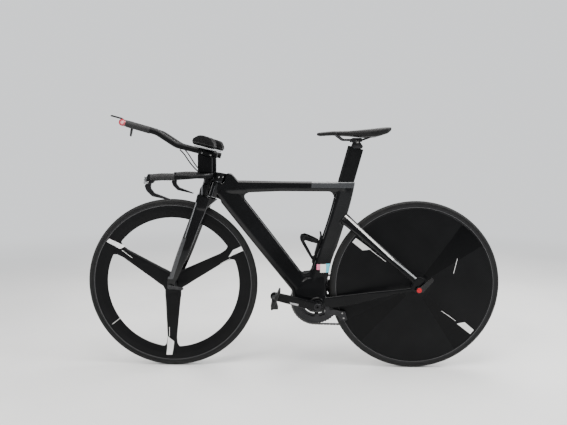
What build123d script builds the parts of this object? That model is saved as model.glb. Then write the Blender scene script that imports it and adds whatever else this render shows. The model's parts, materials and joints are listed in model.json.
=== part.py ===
from build123d import *
import math
import os

os.makedirs("parts", exist_ok=True)

# A triathlon bike, in millimetres. X runs back along the bike, Y to the rider's right, Z up.
# The origin is the place on the saddle where the rider sits.

# Clearances
running_gap = 0.05
seat_gap = 0.1
soft_gap = 0.3
through = 120.0
swing_gap = 5.5
wheel_gap = 7.0

# Wheels
wheel_radius = 335.0
tyre_section = 23.0
rim_depth = 68.0
rim_width = 21.0
tyre_seat = 6.0
spoke_count = 3
spoke_first = -92.0
spoke_root = 66.0
spoke_tip = 38.0
front_hub_radius = 17.0
front_axle_radius = 4.5
front_lock_width = 100.0
rear_axle_radius = 5.0
rear_lock_width = 130.0
hub_end_gap = 5.0
disc_left_half = 27.0
disc_right_half = 17.0

# Stance
tyre_to_bracket = 235.0
bracket_drop = 75.0
bracket_web = 21.25
crown_gap = 10.0
head_angle = 72.5
fork_rake = 45.0
seat_top_behind = 107.1
seat_top_rise = 482.0
seat_angle = 75.2
post_rise = 136.9
saddle_setback = 33.0
saddle_lift = 69.7

# Frame
head_length = 62.9
head_radius = 21.0
head_bore = 18.0
steerer_radius = 14.3
shell_radius = 28.0
shell_bore = 20.0
shell_width = 68.0
post_depth = 62.0
post_width = 24.0
post_tail = 9.0
post_insert = 70.0
dropout_thick = 7.0

# Drivetrain
chain_pitch = 12.7
chain_height = 8.4
chain_waist = 5.8
chain_width = 6.4
chain_core = 2.6
chain_core_height = 2.4
big_ring_teeth = 50
small_ring_teeth = 39
big_ring_inner = 58.0
small_ring_inner = 69.4
ring_spacing = 7.0
bolt_circle = 65.0
sprocket_teeth = (12, 13, 14, 15, 17, 19, 21, 23, 25)
driven_sprocket = 3
sprocket_spacing = 4.35
sprocket_thick = 1.7
tooth_depth = 4.0
chain_side = 43.5
cage_half = 6.0
cage_sheet = 2.0
jockey_teeth = 11
upper_jockey_place = (4.0, -83.0)
lower_jockey_place = (-24.0, -157.0)
crank_length = 172.5
crank_turn = 14.5
crank_face = 73.5
crank_thick = 13.5
crank_inner = 47.0
crank_axle_radius = 12.0
pedal_turn = 65.0
pedal_width = 56.0
pedal_axle_radius = 6.0

# Fork and cockpit
fork_crown_width = 78.0
crown_swing = 34.0
stem_width = 46.0
stem_rear = 27.5
bar_rise = 9.8
bar_ahead = 42.2
bar_half_width = 200.0
wing_chord = 55.0
wing_thick = 20.0
horn_radius = 11.0
grip_wall = 2.2
riser_side = 50.0
riser_width = 24.0
riser_height = 83.0
extension_radius = 11.1
extension_grip_wall = 2.0
pad_side = 115.0
pad_length = 86.0
pad_radius = 54.0
pad_thick = 15.0
pad_height = 43.0
pad_plate = 4.0
plate_length = 64.0
plate_margin = 44.0
plate_round = 12.0
clamp_radius = 16.1
knob_radius = 13.0
cable_radius = 2.5

across = Vector(0, 1, 0)
up = Vector(0, 0, 1)
back = Vector(1, 0, 0)


def leaning(degrees):
    # A direction in the middle plane: up, tipped back from the angle it makes with the floor.
    turn = math.radians(degrees)
    return Vector(math.cos(turn), 0, math.sin(turn))


steer_dir = leaning(head_angle)
steer_back = across.cross(steer_dir)
seat_dir = leaning(seat_angle)
seat_nose = across.cross(seat_dir) * -1
crank_dir = leaning(180 - crank_turn)

# The stance, worked out as distance behind the front axle and height above the floor
chainstay_length = wheel_radius + wheel_gap + bracket_web + shell_radius
bracket_behind = wheel_radius + tyre_to_bracket
bracket_height = wheel_radius - bracket_drop
wheelbase = bracket_behind + math.sqrt(chainstay_length**2 - bracket_drop**2)
sit_behind = bracket_behind + seat_top_behind + seat_dir.X * post_rise + saddle_setback
sit_height = bracket_height + seat_top_rise + seat_dir.Z * post_rise + saddle_lift


def spot(behind, height, side=0.0):
    return Vector(behind - sit_behind, side, height - sit_height)


front_axle_at = spot(0, wheel_radius)
rear_axle_at = spot(wheelbase, wheel_radius)
bracket_at = spot(bracket_behind, bracket_height)
seat_top_at = spot(bracket_behind + seat_top_behind, bracket_height + seat_top_rise)
post_top_at = seat_top_at + seat_dir * post_rise
steer_foot = front_axle_at + steer_back * fork_rake
head_low_rise = front_axle_at.Z + wheel_radius + crown_gap - steer_foot.Z
head_low_at = steer_foot + steer_dir * (head_low_rise / steer_dir.Z)


def near(base):
    # Gives the places measured back, up and to the right from a base point.
    return lambda behind, rise, side=0.0: base + Vector(behind, side, rise)


def head_spot(rise, ahead=0.0, side=0.0):
    # A place measured up the steering axis from the head tube's lower end, and ahead of it.
    return head_low_at + steer_dir * rise - steer_back * ahead + across * side


def seat_spot(rise, ahead=0.0, side=0.0):
    # A place measured up the seat tube's line from its top end, and ahead of it.
    return seat_top_at + seat_dir * rise + seat_nose * ahead + across * side


bar_at = head_spot(head_length + bar_rise, bar_ahead)
from_front = near(front_axle_at)
from_rear = near(rear_axle_at)
from_bracket = near(bracket_at)
from_post = near(post_top_at)
from_bar = near(bar_at)
from_sit = near(Vector(0, 0, 0))

cut_radius = wheel_radius + wheel_gap
tyre_centre = wheel_radius - tyre_section / 2
rim_outer = tyre_centre + tyre_seat
dropout_inner = rear_lock_width / 2
fork_inner = front_lock_width / 2


# Shapes

def between(start, end, share):
    return start + (end - start) * share


def rod(start, end, radius):
    run = end - start
    return extrude(Plane(origin=start, z_dir=run) * Circle(radius), amount=run.length)


def cross_rod(centre, half, radius):
    return rod(centre - across * half, centre + across * half, radius)


def ring(start, end, outer, inner):
    run = end - start
    return extrude(Plane(origin=start, z_dir=run) * (Circle(outer) - Circle(inner)), amount=run.length)


def wheel_part(centre, profile):
    # Turns an outline of (radius, side) points about an axle.
    points = [centre + up * radius + across * side for radius, side in profile]
    return revolve(make_face(Polyline(*points, close=True)), Axis(centre, across))


def slab(place, corners, width, side=0.0, soften=0.0):
    # An outline in the middle plane, as (first, second, corner radius) rows, given a width.
    points = [place(first, second) + across * (side - width / 2) for first, second, radius in corners]
    outline = FilletPolyline(*points, radius=[radius for first, second, radius in corners], close=True)
    body = extrude(make_face(outline), amount=width, dir=across)
    if soften:
        rims = body.edges().group_by(Axis.Y)
        body = fillet(rims[0] + rims[-1], soften)
    return body


def egg(centre, nose, run, depth, width, tail):
    # A section with a round nose, straight flanks and a smaller round tail.
    nose_r, tail_r = width / 2, tail / 2
    lean = (nose_r - tail_r) / (depth - nose_r - tail_r)
    rise = math.sqrt(1 - lean**2)
    nose_x, tail_x = depth / 2 - nose_r, tail_r - depth / 2
    nose_top = (nose_x - nose_r * lean, nose_r * rise)
    tail_top = (tail_x - tail_r * lean, tail_r * rise)
    nose_low = (nose_top[0], -nose_top[1])
    tail_low = (tail_top[0], -tail_top[1])
    outline = Line(tail_top, nose_top)
    outline += ThreePointArc(nose_top, (depth / 2, 0), nose_low)
    outline += Line(nose_low, tail_low)
    outline += ThreePointArc(tail_low, (-depth / 2, 0), tail_top)
    return Plane(origin=centre, x_dir=nose, z_dir=run) * make_face(outline)


def boxed(centre, nose, run, depth, width, roundness=0.42):
    # A section with flat sides, its corners rounded by a share of its lesser side.
    corner = min(depth, width) * roundness
    return Plane(origin=centre, x_dir=nose, z_dir=run) * RectangleRounded(depth, width, corner)


def pipe(points, bends, radius, inner=0.0):
    path = FilletPolyline(*points, radius=bends) if bends else Line(*points)
    start = Plane(origin=path @ 0, z_dir=path % 0)
    section = Circle(radius) - Circle(inner) if inner else Circle(radius)
    return sweep(start * section, path=path)


def half_space(place, direction):
    # A block that fills the space ahead of a plane.
    size = 4 * through
    return extrude(Plane(origin=place, z_dir=direction) * Rectangle(size, size), amount=size)


def mirrored(shape):
    return mirror(shape, about=Plane.XZ)


def both_sides(shape):
    return shape + mirrored(shape)


def largest(shape):
    # The main body of a cut piece, without the crumbs that a cut leaves.
    return shape.solids().sort_by(SortBy.VOLUME)[-1]


def crossing(a, b, c, d):
    # The place in the middle plane where line a-b meets line c-d.
    first, second, gap = b - a, d - c, c - a
    share = (gap.X * second.Z - gap.Z * second.X) / (first.X * second.Z - first.Z * second.X)
    return a + first * share


def corner_web(corner, side_a, side_b, radius, width, depth=16.0):
    # Fills the corner between two tubes with a round that is tangent to both.
    a, b = side_a.normalized(), side_b.normalized()
    half = math.radians(a.get_angle(b)) / 2
    middle = (a + b).normalized()
    on_a = corner + a * radius / math.tan(half)
    on_b = corner + b * radius / math.tan(half)
    bow = corner + middle * (radius / math.sin(half) - radius)
    buried = corner - middle * depth
    outline = Line(on_a, buried) + Line(buried, on_b) + ThreePointArc(on_b, bow, on_a)
    return extrude(make_face(outline), amount=width / 2, dir=across, both=True)


nodes = {}


# Main frame

def tube(stations, nose, ruled=False):
    # A tube of egg sections, given as (centre, depth, width, tail width) rows.
    run = stations[-1][0] - stations[0][0]
    faces = [egg(centre, nose, run, depth, width, tail) for centre, depth, width, tail in stations]
    return loft(faces, ruled=ruled)


down_start = head_spot(43, -34)
down_end = from_bracket(-18, 8)
down_dir = (down_end - down_start).normalized()
down_nose = across.cross(down_dir)
# share of the length, depth, width, tail width
down_rows = [(0.0, 84, 44, 26), (0.6, 80, 44, 26), (1.0, 72, 52, 36)]
down_stations = []
for share, depth, width, tail in down_rows:
    down_stations.append((between(down_start, down_end, share), depth, width, tail))
down_back_edge = [centre - down_nose * depth / 2 for centre, depth, width, tail in down_stations]

top_start = head_spot(43.5, -28.3)
top_end = seat_spot(-24, 3)
top_dir = (top_end - top_start).normalized()
# share of the length, lift over the straight line, depth, width
top_rows = [
    (-0.042, 4.5, 57, 38),
    (0.0, 3.5, 57, 38),
    (0.22, 6.2, 47, 36),
    (0.475, 6.7, 40, 34),
    (1.0, 3.5, 39, 34),
]
top_stations = []
for share, lift, depth, width in top_rows:
    top_stations.append((between(top_start, top_end, share) + up * lift, depth, width))
top_low_edge = [centre - up * depth / 2 for centre, depth, width in top_stations]

seat_start = from_bracket(-10, 30)
seat_end = seat_spot(0)
# share of the length, bow ahead of the straight line, depth, width, tail width
seat_rows = [(0.0, 0, 84, 50, 44), (0.3, 3, 76, 36, 28), (0.63, -4, 72, 32, 20), (1.0, 0, 72, 32, 17)]
seat_stations = []
for share, bow, depth, width, tail in seat_rows:
    seat_stations.append((between(seat_start, seat_end, share) + seat_nose * bow, depth, width, tail))
seat_front_edge = [centre - back * depth / 2 for centre, depth, width, tail in seat_stations]


def seat_tube():
    faces = [egg(centre, -back, up, depth, width, tail) for centre, depth, width, tail in seat_stations]
    return loft(faces)


def top_tube():
    faces = [boxed(centre, up, back, depth, width, 0.36) for centre, depth, width in top_stations]
    return loft(faces, ruled=True)


def hump():
    # The fairing of the top tube behind the stem, hollowed round the steering axis.
    rise, ahead = head_length, -stem_rear
    corners = [
        (rise - 34, ahead + 3, 0),
        (rise + 37, ahead + 25, 0),
        (rise + 45.2, ahead - 7.7, 6),
        (rise + 45.8, ahead - 18, 8),
        (rise + 26, ahead - 51.5, 30),
        (rise - 1, ahead - 104, 0),
    ]
    swept = rod(head_spot(0), head_spot(head_length + through), stem_rear + swing_gap)
    return slab(head_spot, corners, 36, soften=5) - swept


# rise, front end, rear end, width
flare_rows = [
    (102, -50, 34, 40),
    (62, -100, 40, 48),
    (30, -99, 42, 56),
    (-8, -62, 40, 58),
    (-32, -30, 30, 54),
]


def bracket_flare():
    # The one-piece swelling in which the down tube, seat tube and bracket shell meet.
    faces = []
    for rise, front, rear, width in flare_rows:
        faces.append(boxed(from_bracket((front + rear) / 2, rise), back, up, rear - front, width))
    return loft(faces, ruled=True)


def junction_webs():
    foot = crossing(down_back_edge[1], down_back_edge[2], seat_front_edge[0], seat_front_edge[1])
    nose = crossing(down_back_edge[0], down_back_edge[1], top_low_edge[1], top_low_edge[2])
    seat = crossing(top_low_edge[3], top_low_edge[4], seat_front_edge[2], seat_front_edge[3])
    seat_up = seat_front_edge[3] - seat_front_edge[2]
    webs = corner_web(foot, -down_dir, seat_front_edge[1] - seat_front_edge[0], 26, 26)
    webs += corner_web(nose, down_dir, top_dir, 14, 24)
    webs += corner_web(seat, -top_dir, -seat_up, 16, 24)
    return webs


post_foot = seat_top_at - seat_dir * post_insert
post_hole = egg(post_foot - seat_dir * soft_gap, seat_nose, seat_dir,
                post_depth + 2 * seat_gap, post_width + 2 * seat_gap, post_tail + 2 * seat_gap)
head_top_at = head_spot(head_length)

frame = rod(head_low_at, head_top_at, head_radius) + tube(down_stations, down_nose)
frame += top_tube()
frame += seat_tube()
frame += cross_rod(bracket_at, shell_width / 2, shell_radius)
frame += bracket_flare()
frame += junction_webs()
frame += hump()
frame -= cross_rod(rear_axle_at, through, cut_radius)
frame -= rod(head_top_at, head_spot(head_length + through), stem_rear + swing_gap)
frame -= rod(head_spot(-through), head_spot(head_length + through), head_bore)
frame -= cross_rod(bracket_at, through, shell_bore)
frame -= rod(head_low_at, head_spot(-through), crown_swing + swing_gap)
frame -= extrude(post_hole, amount=through)
nodes["main_frame"] = frame


# Stays and dropouts, first for the left side

def stay(start, end, rows):
    # A stay along a line, as (share, lift, side, depth, width) rows.
    run = (end - start).normalized()
    nose = across.cross(run)
    faces = []
    for share, lift, side, depth, width in rows:
        faces.append(boxed(between(start, end, share) + up * lift - across * side, nose, run, depth, width))
    return loft(faces, ruled=True)


dropout_side = dropout_inner + dropout_thick / 2
# share of the length, lift over the straight line, side, depth, width
chainstay_rows = [
    (0.0, 0, 23, 50, 13),
    (0.288, -5.5, 23.5, 47, 12),
    (0.543, 0, 47, 35, 13),
    (0.81, 2.5, 63, 18, 10),
    (1.0, 0, dropout_side, 14, 8),
]
seatstay_rows = [
    (0.0, 0, 14, 44, 20),
    (0.257, 0, 30, 32, 15),
    (0.8, 0, 62, 27, 11),
    (1.0, 0, dropout_side, 26, 8),
]
chainstay_start = from_bracket(0, -1)
seatstay_start = seat_spot(-138.5, -31.4)
# behind, rise, corner radius
dropout_corners = [
    (-29, 10, 8),
    (-16, -13, 8),
    (8, -17, 8),
    (20, 0, 10),
    (26, 37, 8),
    (4, 53, 12),
    (-16, 37, 10),
]
dropout = slab(from_rear, dropout_corners, dropout_thick, side=-dropout_side)
dropout -= rod(rear_axle_at - across * through, rear_axle_at, rear_axle_radius + seat_gap)
chainstay = stay(chainstay_start, from_rear(-16, 1), chainstay_rows) + dropout
chainstay = largest(chainstay - frame)
seatstay = largest(stay(seatstay_start, from_rear(2, 22), seatstay_rows) - chainstay - frame)
hub_room = rod(rear_axle_at - across * (dropout_inner - seat_gap), rear_axle_at, 60)
chainstay = largest(chainstay - hub_room)
seatstay = largest(seatstay - hub_room)
nodes["chainstay_left"] = chainstay
nodes["chainstay_right"] = mirrored(chainstay)
nodes["seatstay_left"] = seatstay
nodes["seatstay_right"] = mirrored(seatstay)

# Seatpost, its clamp and the saddle's rails
post_section = egg(post_foot, seat_nose, seat_dir, post_depth, post_width, post_tail)
nodes["seatpost"] = extrude(post_section, amount=post_rise + post_insert)

rail_radius = 3.5
rail_side = 22.0
rail_rise = 28.7
rail_bends = [18.0, 18.0]
cradle_radius = 12.0
cradle_half = 14.0
# behind, rise, corner radius
neck_corners = [(-19, -2, 0), (19, -2, 0), (14, rail_rise - 10, 6), (-13, rail_rise - 10, 6)]
clamp = slab(from_post, neck_corners, post_width - 2, soften=2)
clamp -= half_space(post_top_at, -seat_dir)
clamp += cross_rod(from_post(0, rail_rise - 8), cradle_half, cradle_radius)
jaw_low, jaw_high = rail_rise - 8, rail_rise + 7
jaw_corners = [(-21, jaw_low, 3), (21, jaw_low, 3), (19, jaw_high, 4), (-19, jaw_high, 4)]
clamp += both_sides(slab(from_post, jaw_corners, 12, side=rail_side, soften=1))
clamp += cross_rod(from_post(0, jaw_low), rail_side + 9, 6)
rail_points = [(-82, 51), (-52, rail_rise), (23, rail_rise), (56, 41)]
rail_path = [from_post(behind, rise, -rail_side) for behind, rise in rail_points]
rail = pipe(rail_path, rail_bends, rail_radius)
rail_hole = pipe(rail_path, rail_bends, rail_radius + seat_gap)
nodes["seatpost_clamp"] = clamp - both_sides(rail_hole)
nodes["saddle_rails"] = both_sides(rail)


def saddle_section(behind, top, thick, width, crown):
    # A cross-section with a crowned top, round shoulders and a flat underside.
    half, edge = width / 2, thick * 0.42
    shoulder = top - crown
    low = top - thick
    flank = shoulder - edge
    bow = edge * (1 - math.sqrt(0.5))
    outline = Line((-half + edge, low), (half - edge, low))
    outline += ThreePointArc((half - edge, low), (half - bow, low + bow), (half, low + edge))
    outline += Line((half, low + edge), (half, flank))
    outline += ThreePointArc((half, flank), (half - bow, shoulder - bow), (half - edge, shoulder))
    outline += ThreePointArc((half - edge, shoulder), (0, top), (-half + edge, shoulder))
    outline += ThreePointArc((-half + edge, shoulder), (-half + bow, shoulder - bow), (-half, flank))
    outline += Line((-half, flank), (-half, low + edge))
    outline += ThreePointArc((-half, low + edge), (-half + bow, low + bow), (-half + edge, low))
    return Plane(origin=from_sit(behind, 0), x_dir=across, z_dir=back) * make_face(outline)


# behind, top, thickness, width, crown
saddle_rows = [
    (-184, -15, 9, 24, 1),
    (-172, -12.5, 15, 33, 1.5),
    (-125, -7.5, 17, 38, 2),
    (-60, -6, 21, 58, 2.5),
    (10, 0.5, 32, 122, 3),
    (48, 5, 33, 138, 3),
    (78, 8, 26, 134, 3),
    (92, 7, 13, 112, 2),
]
saddle = loft([saddle_section(*row) for row in saddle_rows], ruled=True)
nodes["saddle"] = largest(saddle - both_sides(rail_hole))


# Wheels

def tyre(centre, extra=0.0):
    section = Plane(origin=centre + up * tyre_centre, x_dir=up, z_dir=back) * Circle(tyre_section / 2 + extra)
    return revolve(section, Axis(centre, across))


half_rim = rim_width / 2
rim_inner = rim_outer - rim_depth
track_low = rim_outer - 18
hub_reach = front_lock_width / 2 - hub_end_gap

wheel = wheel_part(front_axle_at, [
    (rim_outer, -half_rim),
    (rim_outer, half_rim),
    (track_low, half_rim + 0.5),
    ((rim_inner + track_low) / 2, half_rim - 1),
    (rim_inner, 3.5),
    (rim_inner, -3.5),
    ((rim_inner + track_low) / 2, 1 - half_rim),
    (track_low, -half_rim - 0.5),
])
wheel += wheel_part(front_axle_at, [(0, -15), (30, -15), (40, -12), (40, 12), (30, 15), (0, 15)])
# radius, depth, width
spoke_rows = [
    (8, spoke_root, 26),
    (48, spoke_root - 2, 25),
    (70, spoke_root - 7, 22),
    (rim_inner - 40, spoke_tip, 16),
    (rim_inner - 14, spoke_tip + 6, 15),
    (rim_inner - 2, spoke_tip + 22, 13),
    (rim_inner + 10, spoke_tip + 50, 12),
]
for index in range(spoke_count):
    out = leaning(spoke_first + index * 360 / spoke_count)
    faces = []
    for radius, depth, width in spoke_rows:
        faces.append(boxed(front_axle_at + out * radius, across.cross(out), out, depth, width, 0.45))
    wheel += loft(faces, ruled=True)
wheel -= tyre(front_axle_at, seat_gap)
nodes["tri_spoke_wheel"] = largest(wheel - cross_rod(front_axle_at, through, front_hub_radius))
nodes["front_tyre"] = tyre(front_axle_at)

hub_bore = front_axle_radius + running_gap
hub_skin = front_hub_radius - seat_gap
nodes["front_hub"] = wheel_part(front_axle_at, [
    (hub_bore, -hub_reach),
    (10, -hub_reach),
    (12, 6 - hub_reach),
    (14, -22),
    (hub_skin, -20),
    (hub_skin, 20),
    (14, 22),
    (12, hub_reach - 6),
    (10, hub_reach),
    (hub_bore, hub_reach),
])

rear_bore = rear_axle_radius + running_gap
rear_hub_reach = rear_lock_width / 2 - hub_end_gap
disc = wheel_part(rear_axle_at, [
    (rear_bore, -disc_left_half),
    (30, -disc_left_half),
    (60, 5 - disc_left_half),
    (track_low - 7, -half_rim - 0.8),
    (track_low - 6, -half_rim),
    (rim_outer, -half_rim),
    (rim_outer, half_rim),
    (track_low - 6, half_rim),
    (track_low - 7, half_rim + 0.8),
    (60, disc_right_half),
    (rear_bore, disc_right_half),
])
nodes["disc_wheel"] = largest(disc - tyre(rear_axle_at, seat_gap))
nodes["rear_tyre"] = tyre(rear_axle_at)
nodes["rear_hub"] = wheel_part(rear_axle_at, [
    (rear_bore, -rear_hub_reach),
    (11, -rear_hub_reach),
    (12, 10 - rear_hub_reach),
    (18, -disc_left_half - 4),
    (18, -disc_left_half),
    (rear_bore, -disc_left_half),
])


# Sprockets and rings

def pitch_radius(teeth):
    return chain_pitch / (2 * math.sin(math.pi / teeth))


def toothed(centre, side, teeth, tooth_tip, bore=0.0):
    # A toothed plate whose teeth reach a distance past the pitch circle.
    pitch = pitch_radius(teeth)
    points = []
    for index in range(teeth):
        # reach past the pitch circle, place within one tooth
        for reach, place in ((-tooth_depth, -0.3), (tooth_tip, -0.1), (tooth_tip, 0.1), (-tooth_depth, 0.3)):
            turn = 2 * math.pi * (index + place) / teeth
            points.append(((pitch + reach) * math.cos(turn), (pitch + reach) * math.sin(turn)))
    plane = Plane(origin=centre + across * (side - sprocket_thick / 2), x_dir=back, z_dir=across)
    face = make_face(Polyline(*points, close=True))
    if bore:
        face -= Circle(bore)
    return extrude(plane * face, amount=sprocket_thick)


meshed_tip = -chain_core_height / 2 - soft_gap
free_tip = 1.5
body_radius = 16.0
body_end = rear_hub_reach - 0.5
cassette = wheel_part(rear_axle_at, [
    (rear_bore, disc_right_half + seat_gap),
    (body_radius, disc_right_half + seat_gap),
    (body_radius, body_end - 3),
    (body_radius - 3, body_end),
    (rear_bore, body_end),
])
for index, teeth in enumerate(sprocket_teeth):
    side = chain_side + (driven_sprocket - index) * sprocket_spacing
    tooth_tip = meshed_tip if index == driven_sprocket else free_tip
    cassette += toothed(rear_axle_at, side, teeth, tooth_tip, body_radius - 1)
nodes["cassette"] = cassette

# Rear axle, with its nut on the right and the red nut and lever on the left
rear_reach = dropout_inner + dropout_thick
axle = cross_rod(rear_axle_at, rear_reach, rear_axle_radius)
for side in (-1, 1):
    start = rear_axle_at + across * side * (rear_hub_reach + soft_gap)
    axle += rod(start, rear_axle_at + across * side * dropout_inner, 9)
axle += rod(rear_axle_at + across * rear_reach, rear_axle_at + across * (rear_reach + 13), 9)
nodes["rear_axle"] = axle

lever_corners = [(2, -7, 3), (14, -9, 3), (54, 37, 3), (52, 47, 3), (44, 47, 3), (2, 10, 3)]
nut_start = rear_axle_at - across * rear_reach
lever = rod(nut_start, nut_start - across * 12, 11)
lever = fillet(lever.edges().group_by(Axis.Y)[0], 2)
lever += slab(from_rear, lever_corners, 6, side=-rear_reach - 8, soften=1.5)
nodes["rear_nut_lever"] = lever

# Crankset
left_pedal_at = bracket_at + crank_dir * crank_length
right_pedal_at = bracket_at - crank_dir * crank_length
crank_root_half = 8.5


def crank_arm(turn_dir, side):
    root = bracket_at + across * side * (crank_inner + crank_root_half)
    tip = bracket_at + turn_dir * crank_length + across * side * (crank_face - crank_thick / 2)
    body = cross_rod(root, crank_root_half, 17) + cross_rod(tip, crank_thick / 2, 14.5)
    # share of the length, depth, width
    rows = [(0.05, 31, 15), (0.35, 26, 13), (0.94, 25, 12)]
    faces = []
    for share, depth, width in rows:
        faces.append(boxed(between(root, tip, share), across.cross(turn_dir), turn_dir, depth, width, 0.35))
    body += loft(faces, ruled=True)
    return body - cross_rod(tip, through, pedal_axle_radius + seat_gap)


arm_count = 5
arm_turns = [crank_turn + index * 360 / arm_count for index in range(arm_count)]
axle_hole = cross_rod(bracket_at, through, crank_axle_radius + seat_gap)
spider_middle = crank_inner + 4.0
spider = rod(bracket_at + across * crank_inner, bracket_at + across * (crank_inner + 8), 28)
for turn in arm_turns:
    out = leaning(-turn)
    nose = across.cross(out)
    # radius, depth, width
    rows = [(18, 26, 8), (bolt_circle - 15, 17, 7), (bolt_circle + 7, 15, 6)]
    faces = [boxed(bracket_at + out * r + across * spider_middle, nose, out, d, w, 0.3) for r, d, w in rows]
    spider += loft(faces, ruled=True)
nodes["crank_arm_left"] = crank_arm(crank_dir, -1) - axle_hole
nodes["crank_arm_right"] = crank_arm(-crank_dir, 1) + spider - axle_hole
nodes["crank_axle"] = cross_rod(bracket_at, crank_inner + 2 * crank_root_half, crank_axle_radius)


def chain_ring(teeth, side, tooth_tip, inner):
    # A toothed band with a boss at each chainring bolt, on a tab where the band is narrow.
    body = toothed(bracket_at, side, teeth, tooth_tip, inner)
    for turn in arm_turns:
        out = leaning(-turn)
        bolt = bracket_at + out * bolt_circle + across * side
        body += cross_rod(bolt, sprocket_thick / 2, 8.5)
        if inner > bolt_circle:
            face = Plane(origin=bolt, x_dir=across.cross(out), z_dir=out) * Rectangle(15, sprocket_thick)
            body += extrude(face, amount=inner + 3 - bolt_circle)
    return body


rings = chain_ring(big_ring_teeth, chain_side, meshed_tip, big_ring_inner)
rings += chain_ring(small_ring_teeth, chain_side - ring_spacing, free_tip, small_ring_inner)
for turn in arm_turns:
    bolt = bracket_at + leaning(-turn) * bolt_circle
    start = bolt + across * (chain_side - ring_spacing - 2)
    rings += rod(start, bolt + across * (spider_middle + 5), 5)
nodes["chainring"] = largest(rings - nodes["crank_arm_right"])

# behind, rise, corner radius, before the pedal is turned
pedal_corners = [
    (-40, -6, 4),
    (-30, -10, 6),
    (26, -9, 6),
    (40, -3, 3),
    (41, 4, 2),
    (20, 8, 6),
    (-18, 8, 6),
    (-40, 3, 3),
]
pedal_start = crank_face + 2.0
for side, name, place in ((-1, "left", left_pedal_at), (1, "right", right_pedal_at)):
    along, rise = leaning(pedal_turn), leaning(pedal_turn + 90)

    def on_pedal(first, second):
        return place + along * first + rise * second

    thread_start = place + across * side * (crank_face - crank_thick)
    body_start = place + across * side * pedal_start
    axle_end = place + across * side * (pedal_start + pedal_width + 2)
    nodes["pedal_axle_" + name] = rod(thread_start, axle_end, pedal_axle_radius)
    block_side = side * (pedal_start + pedal_width / 2 + 3)
    body = slab(on_pedal, pedal_corners, pedal_width - 6, side=block_side, soften=1.5)
    body += rod(body_start + across * side * 2, axle_end + across * side * 2, 9)
    body -= rod(thread_start, axle_end + across * side * soft_gap, pedal_axle_radius + running_gap)
    nodes["pedal_" + name] = body

# Bracket bearings in cups at both ends of the shell
cup_reach = crank_inner - 0.5
cup_bore = crank_axle_radius + running_gap
cups = Part()
for side in (-1, 1):
    edge = bracket_at + across * side * shell_width / 2
    cups += ring(edge, bracket_at + across * side * cup_reach, 21, cup_bore)
    cups += ring(edge - across * side * 12, edge, shell_bore - seat_gap, cup_bore)
nodes["bottom_bracket"] = cups

# Chain round the big ring, the driven sprocket and the two jockey wheels
upper_jockey = from_rear(*upper_jockey_place)
lower_jockey = from_rear(*lower_jockey_place)
jockey_pitch = pitch_radius(jockey_teeth)
# centre, radius, sense of the turn
chain_rounds = [
    (bracket_at, pitch_radius(big_ring_teeth), 1),
    (rear_axle_at, pitch_radius(sprocket_teeth[driven_sprocket]), 1),
    (upper_jockey, jockey_pitch, -1),
    (lower_jockey, jockey_pitch, 1),
]


def belt(rounds):
    # The straight runs and arcs of a loop round wheels.
    spans = []
    for index in range(len(rounds)):
        (c1, r1, s1), (c2, r2, s2) = rounds[index], rounds[(index + 1) % len(rounds)]
        gap = c2 - c1
        base = math.atan2(gap.Z, gap.X)
        lean = math.asin((s1 * r1 - s2 * r2) / gap.length)
        out = leaning(math.degrees(base + math.pi / 2 - lean))
        spans.append((c1 + out * r1 * s1, c2 + out * r2 * s2))
    path = []
    for index in range(len(rounds)):
        centre, radius, sense = rounds[(index + 1) % len(rounds)]
        leave, meet = spans[index]
        leave_next = spans[(index + 1) % len(rounds)][0]
        start = math.atan2(meet.Z - centre.Z, meet.X - centre.X)
        end = math.atan2(leave_next.Z - centre.Z, leave_next.X - centre.X)
        turned = (start - end) * sense % (2 * math.pi)
        middle = centre + leaning(math.degrees(start - sense * turned / 2)) * radius
        path += [Line(leave, meet), ThreePointArc(meet, middle, leave_next)]
    return Wire(path)


def chain_band(half):
    outer = belt([(centre, radius + sense * half, sense) for centre, radius, sense in chain_rounds])
    inner = belt([(centre, radius - sense * half, sense) for centre, radius, sense in chain_rounds])
    return make_face(outer.edges()) - make_face(inner.edges())


def chain_plates():
    # The side plates' outline: broad and round at each pin, waisted between the pins.
    path = belt(chain_rounds)
    links = 2 * round(path.length / chain_pitch / 2)
    rims = {1: [], -1: []}
    for index in range(links):
        pin, run = path.position_at(index / links), path.tangent_at(index / links)
        half_way = (index + 0.5) / links
        waist, waist_run = path.position_at(half_way), path.tangent_at(half_way)
        for hand, points in rims.items():
            rim = across.cross(run) * hand * chain_height / 2
            points += [pin + rim - run * 2.4, pin + rim + run * 2.4]
            points.append(waist + across.cross(waist_run) * hand * chain_waist / 2)
    faces = [make_face(Polyline(*points, close=True)) for points in rims.values()]
    faces.sort(key=lambda face: face.area)
    return faces[1] - faces[0]


plate_thick = (chain_width - chain_core) / 2
plate = extrude(chain_plates(), amount=plate_thick, dir=across)
chain = extrude(chain_band(chain_core_height / 2), amount=chain_core / 2, dir=across, both=True)
chain += Pos(0, chain_core / 2, 0) * plate
chain += Pos(0, -chain_core / 2 - plate_thick, 0) * plate
nodes["chain"] = Pos(0, chain_side, 0) * chain

# Fork
over_crown = half_space(head_spot(-swing_gap), steer_dir)
blade_start = head_spot(-11.6, 23.5)
blade_end = from_front(10, 27)
# share of the length, side, depth, width, tail width
blade_rows = [
    (0.0, 28, 56, 20, 12),
    (0.5, 42, 47, 17, 9),
    (0.85, 54, 38, 15, 8),
    (1.0, fork_inner + 6, 30, 12, 8),
]
blade_stations = []
for share, side, depth, width, tail in blade_rows:
    blade_stations.append((between(blade_start, blade_end, share) - across * side, depth, width, tail))
blade_run = (blade_end - blade_start).normalized()
faces = []
for centre, depth, width, tail in blade_stations:
    faces.append(egg(centre, across.cross(blade_run), blade_run, depth, width, tail))
blade = loft(faces) - over_crown
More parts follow.
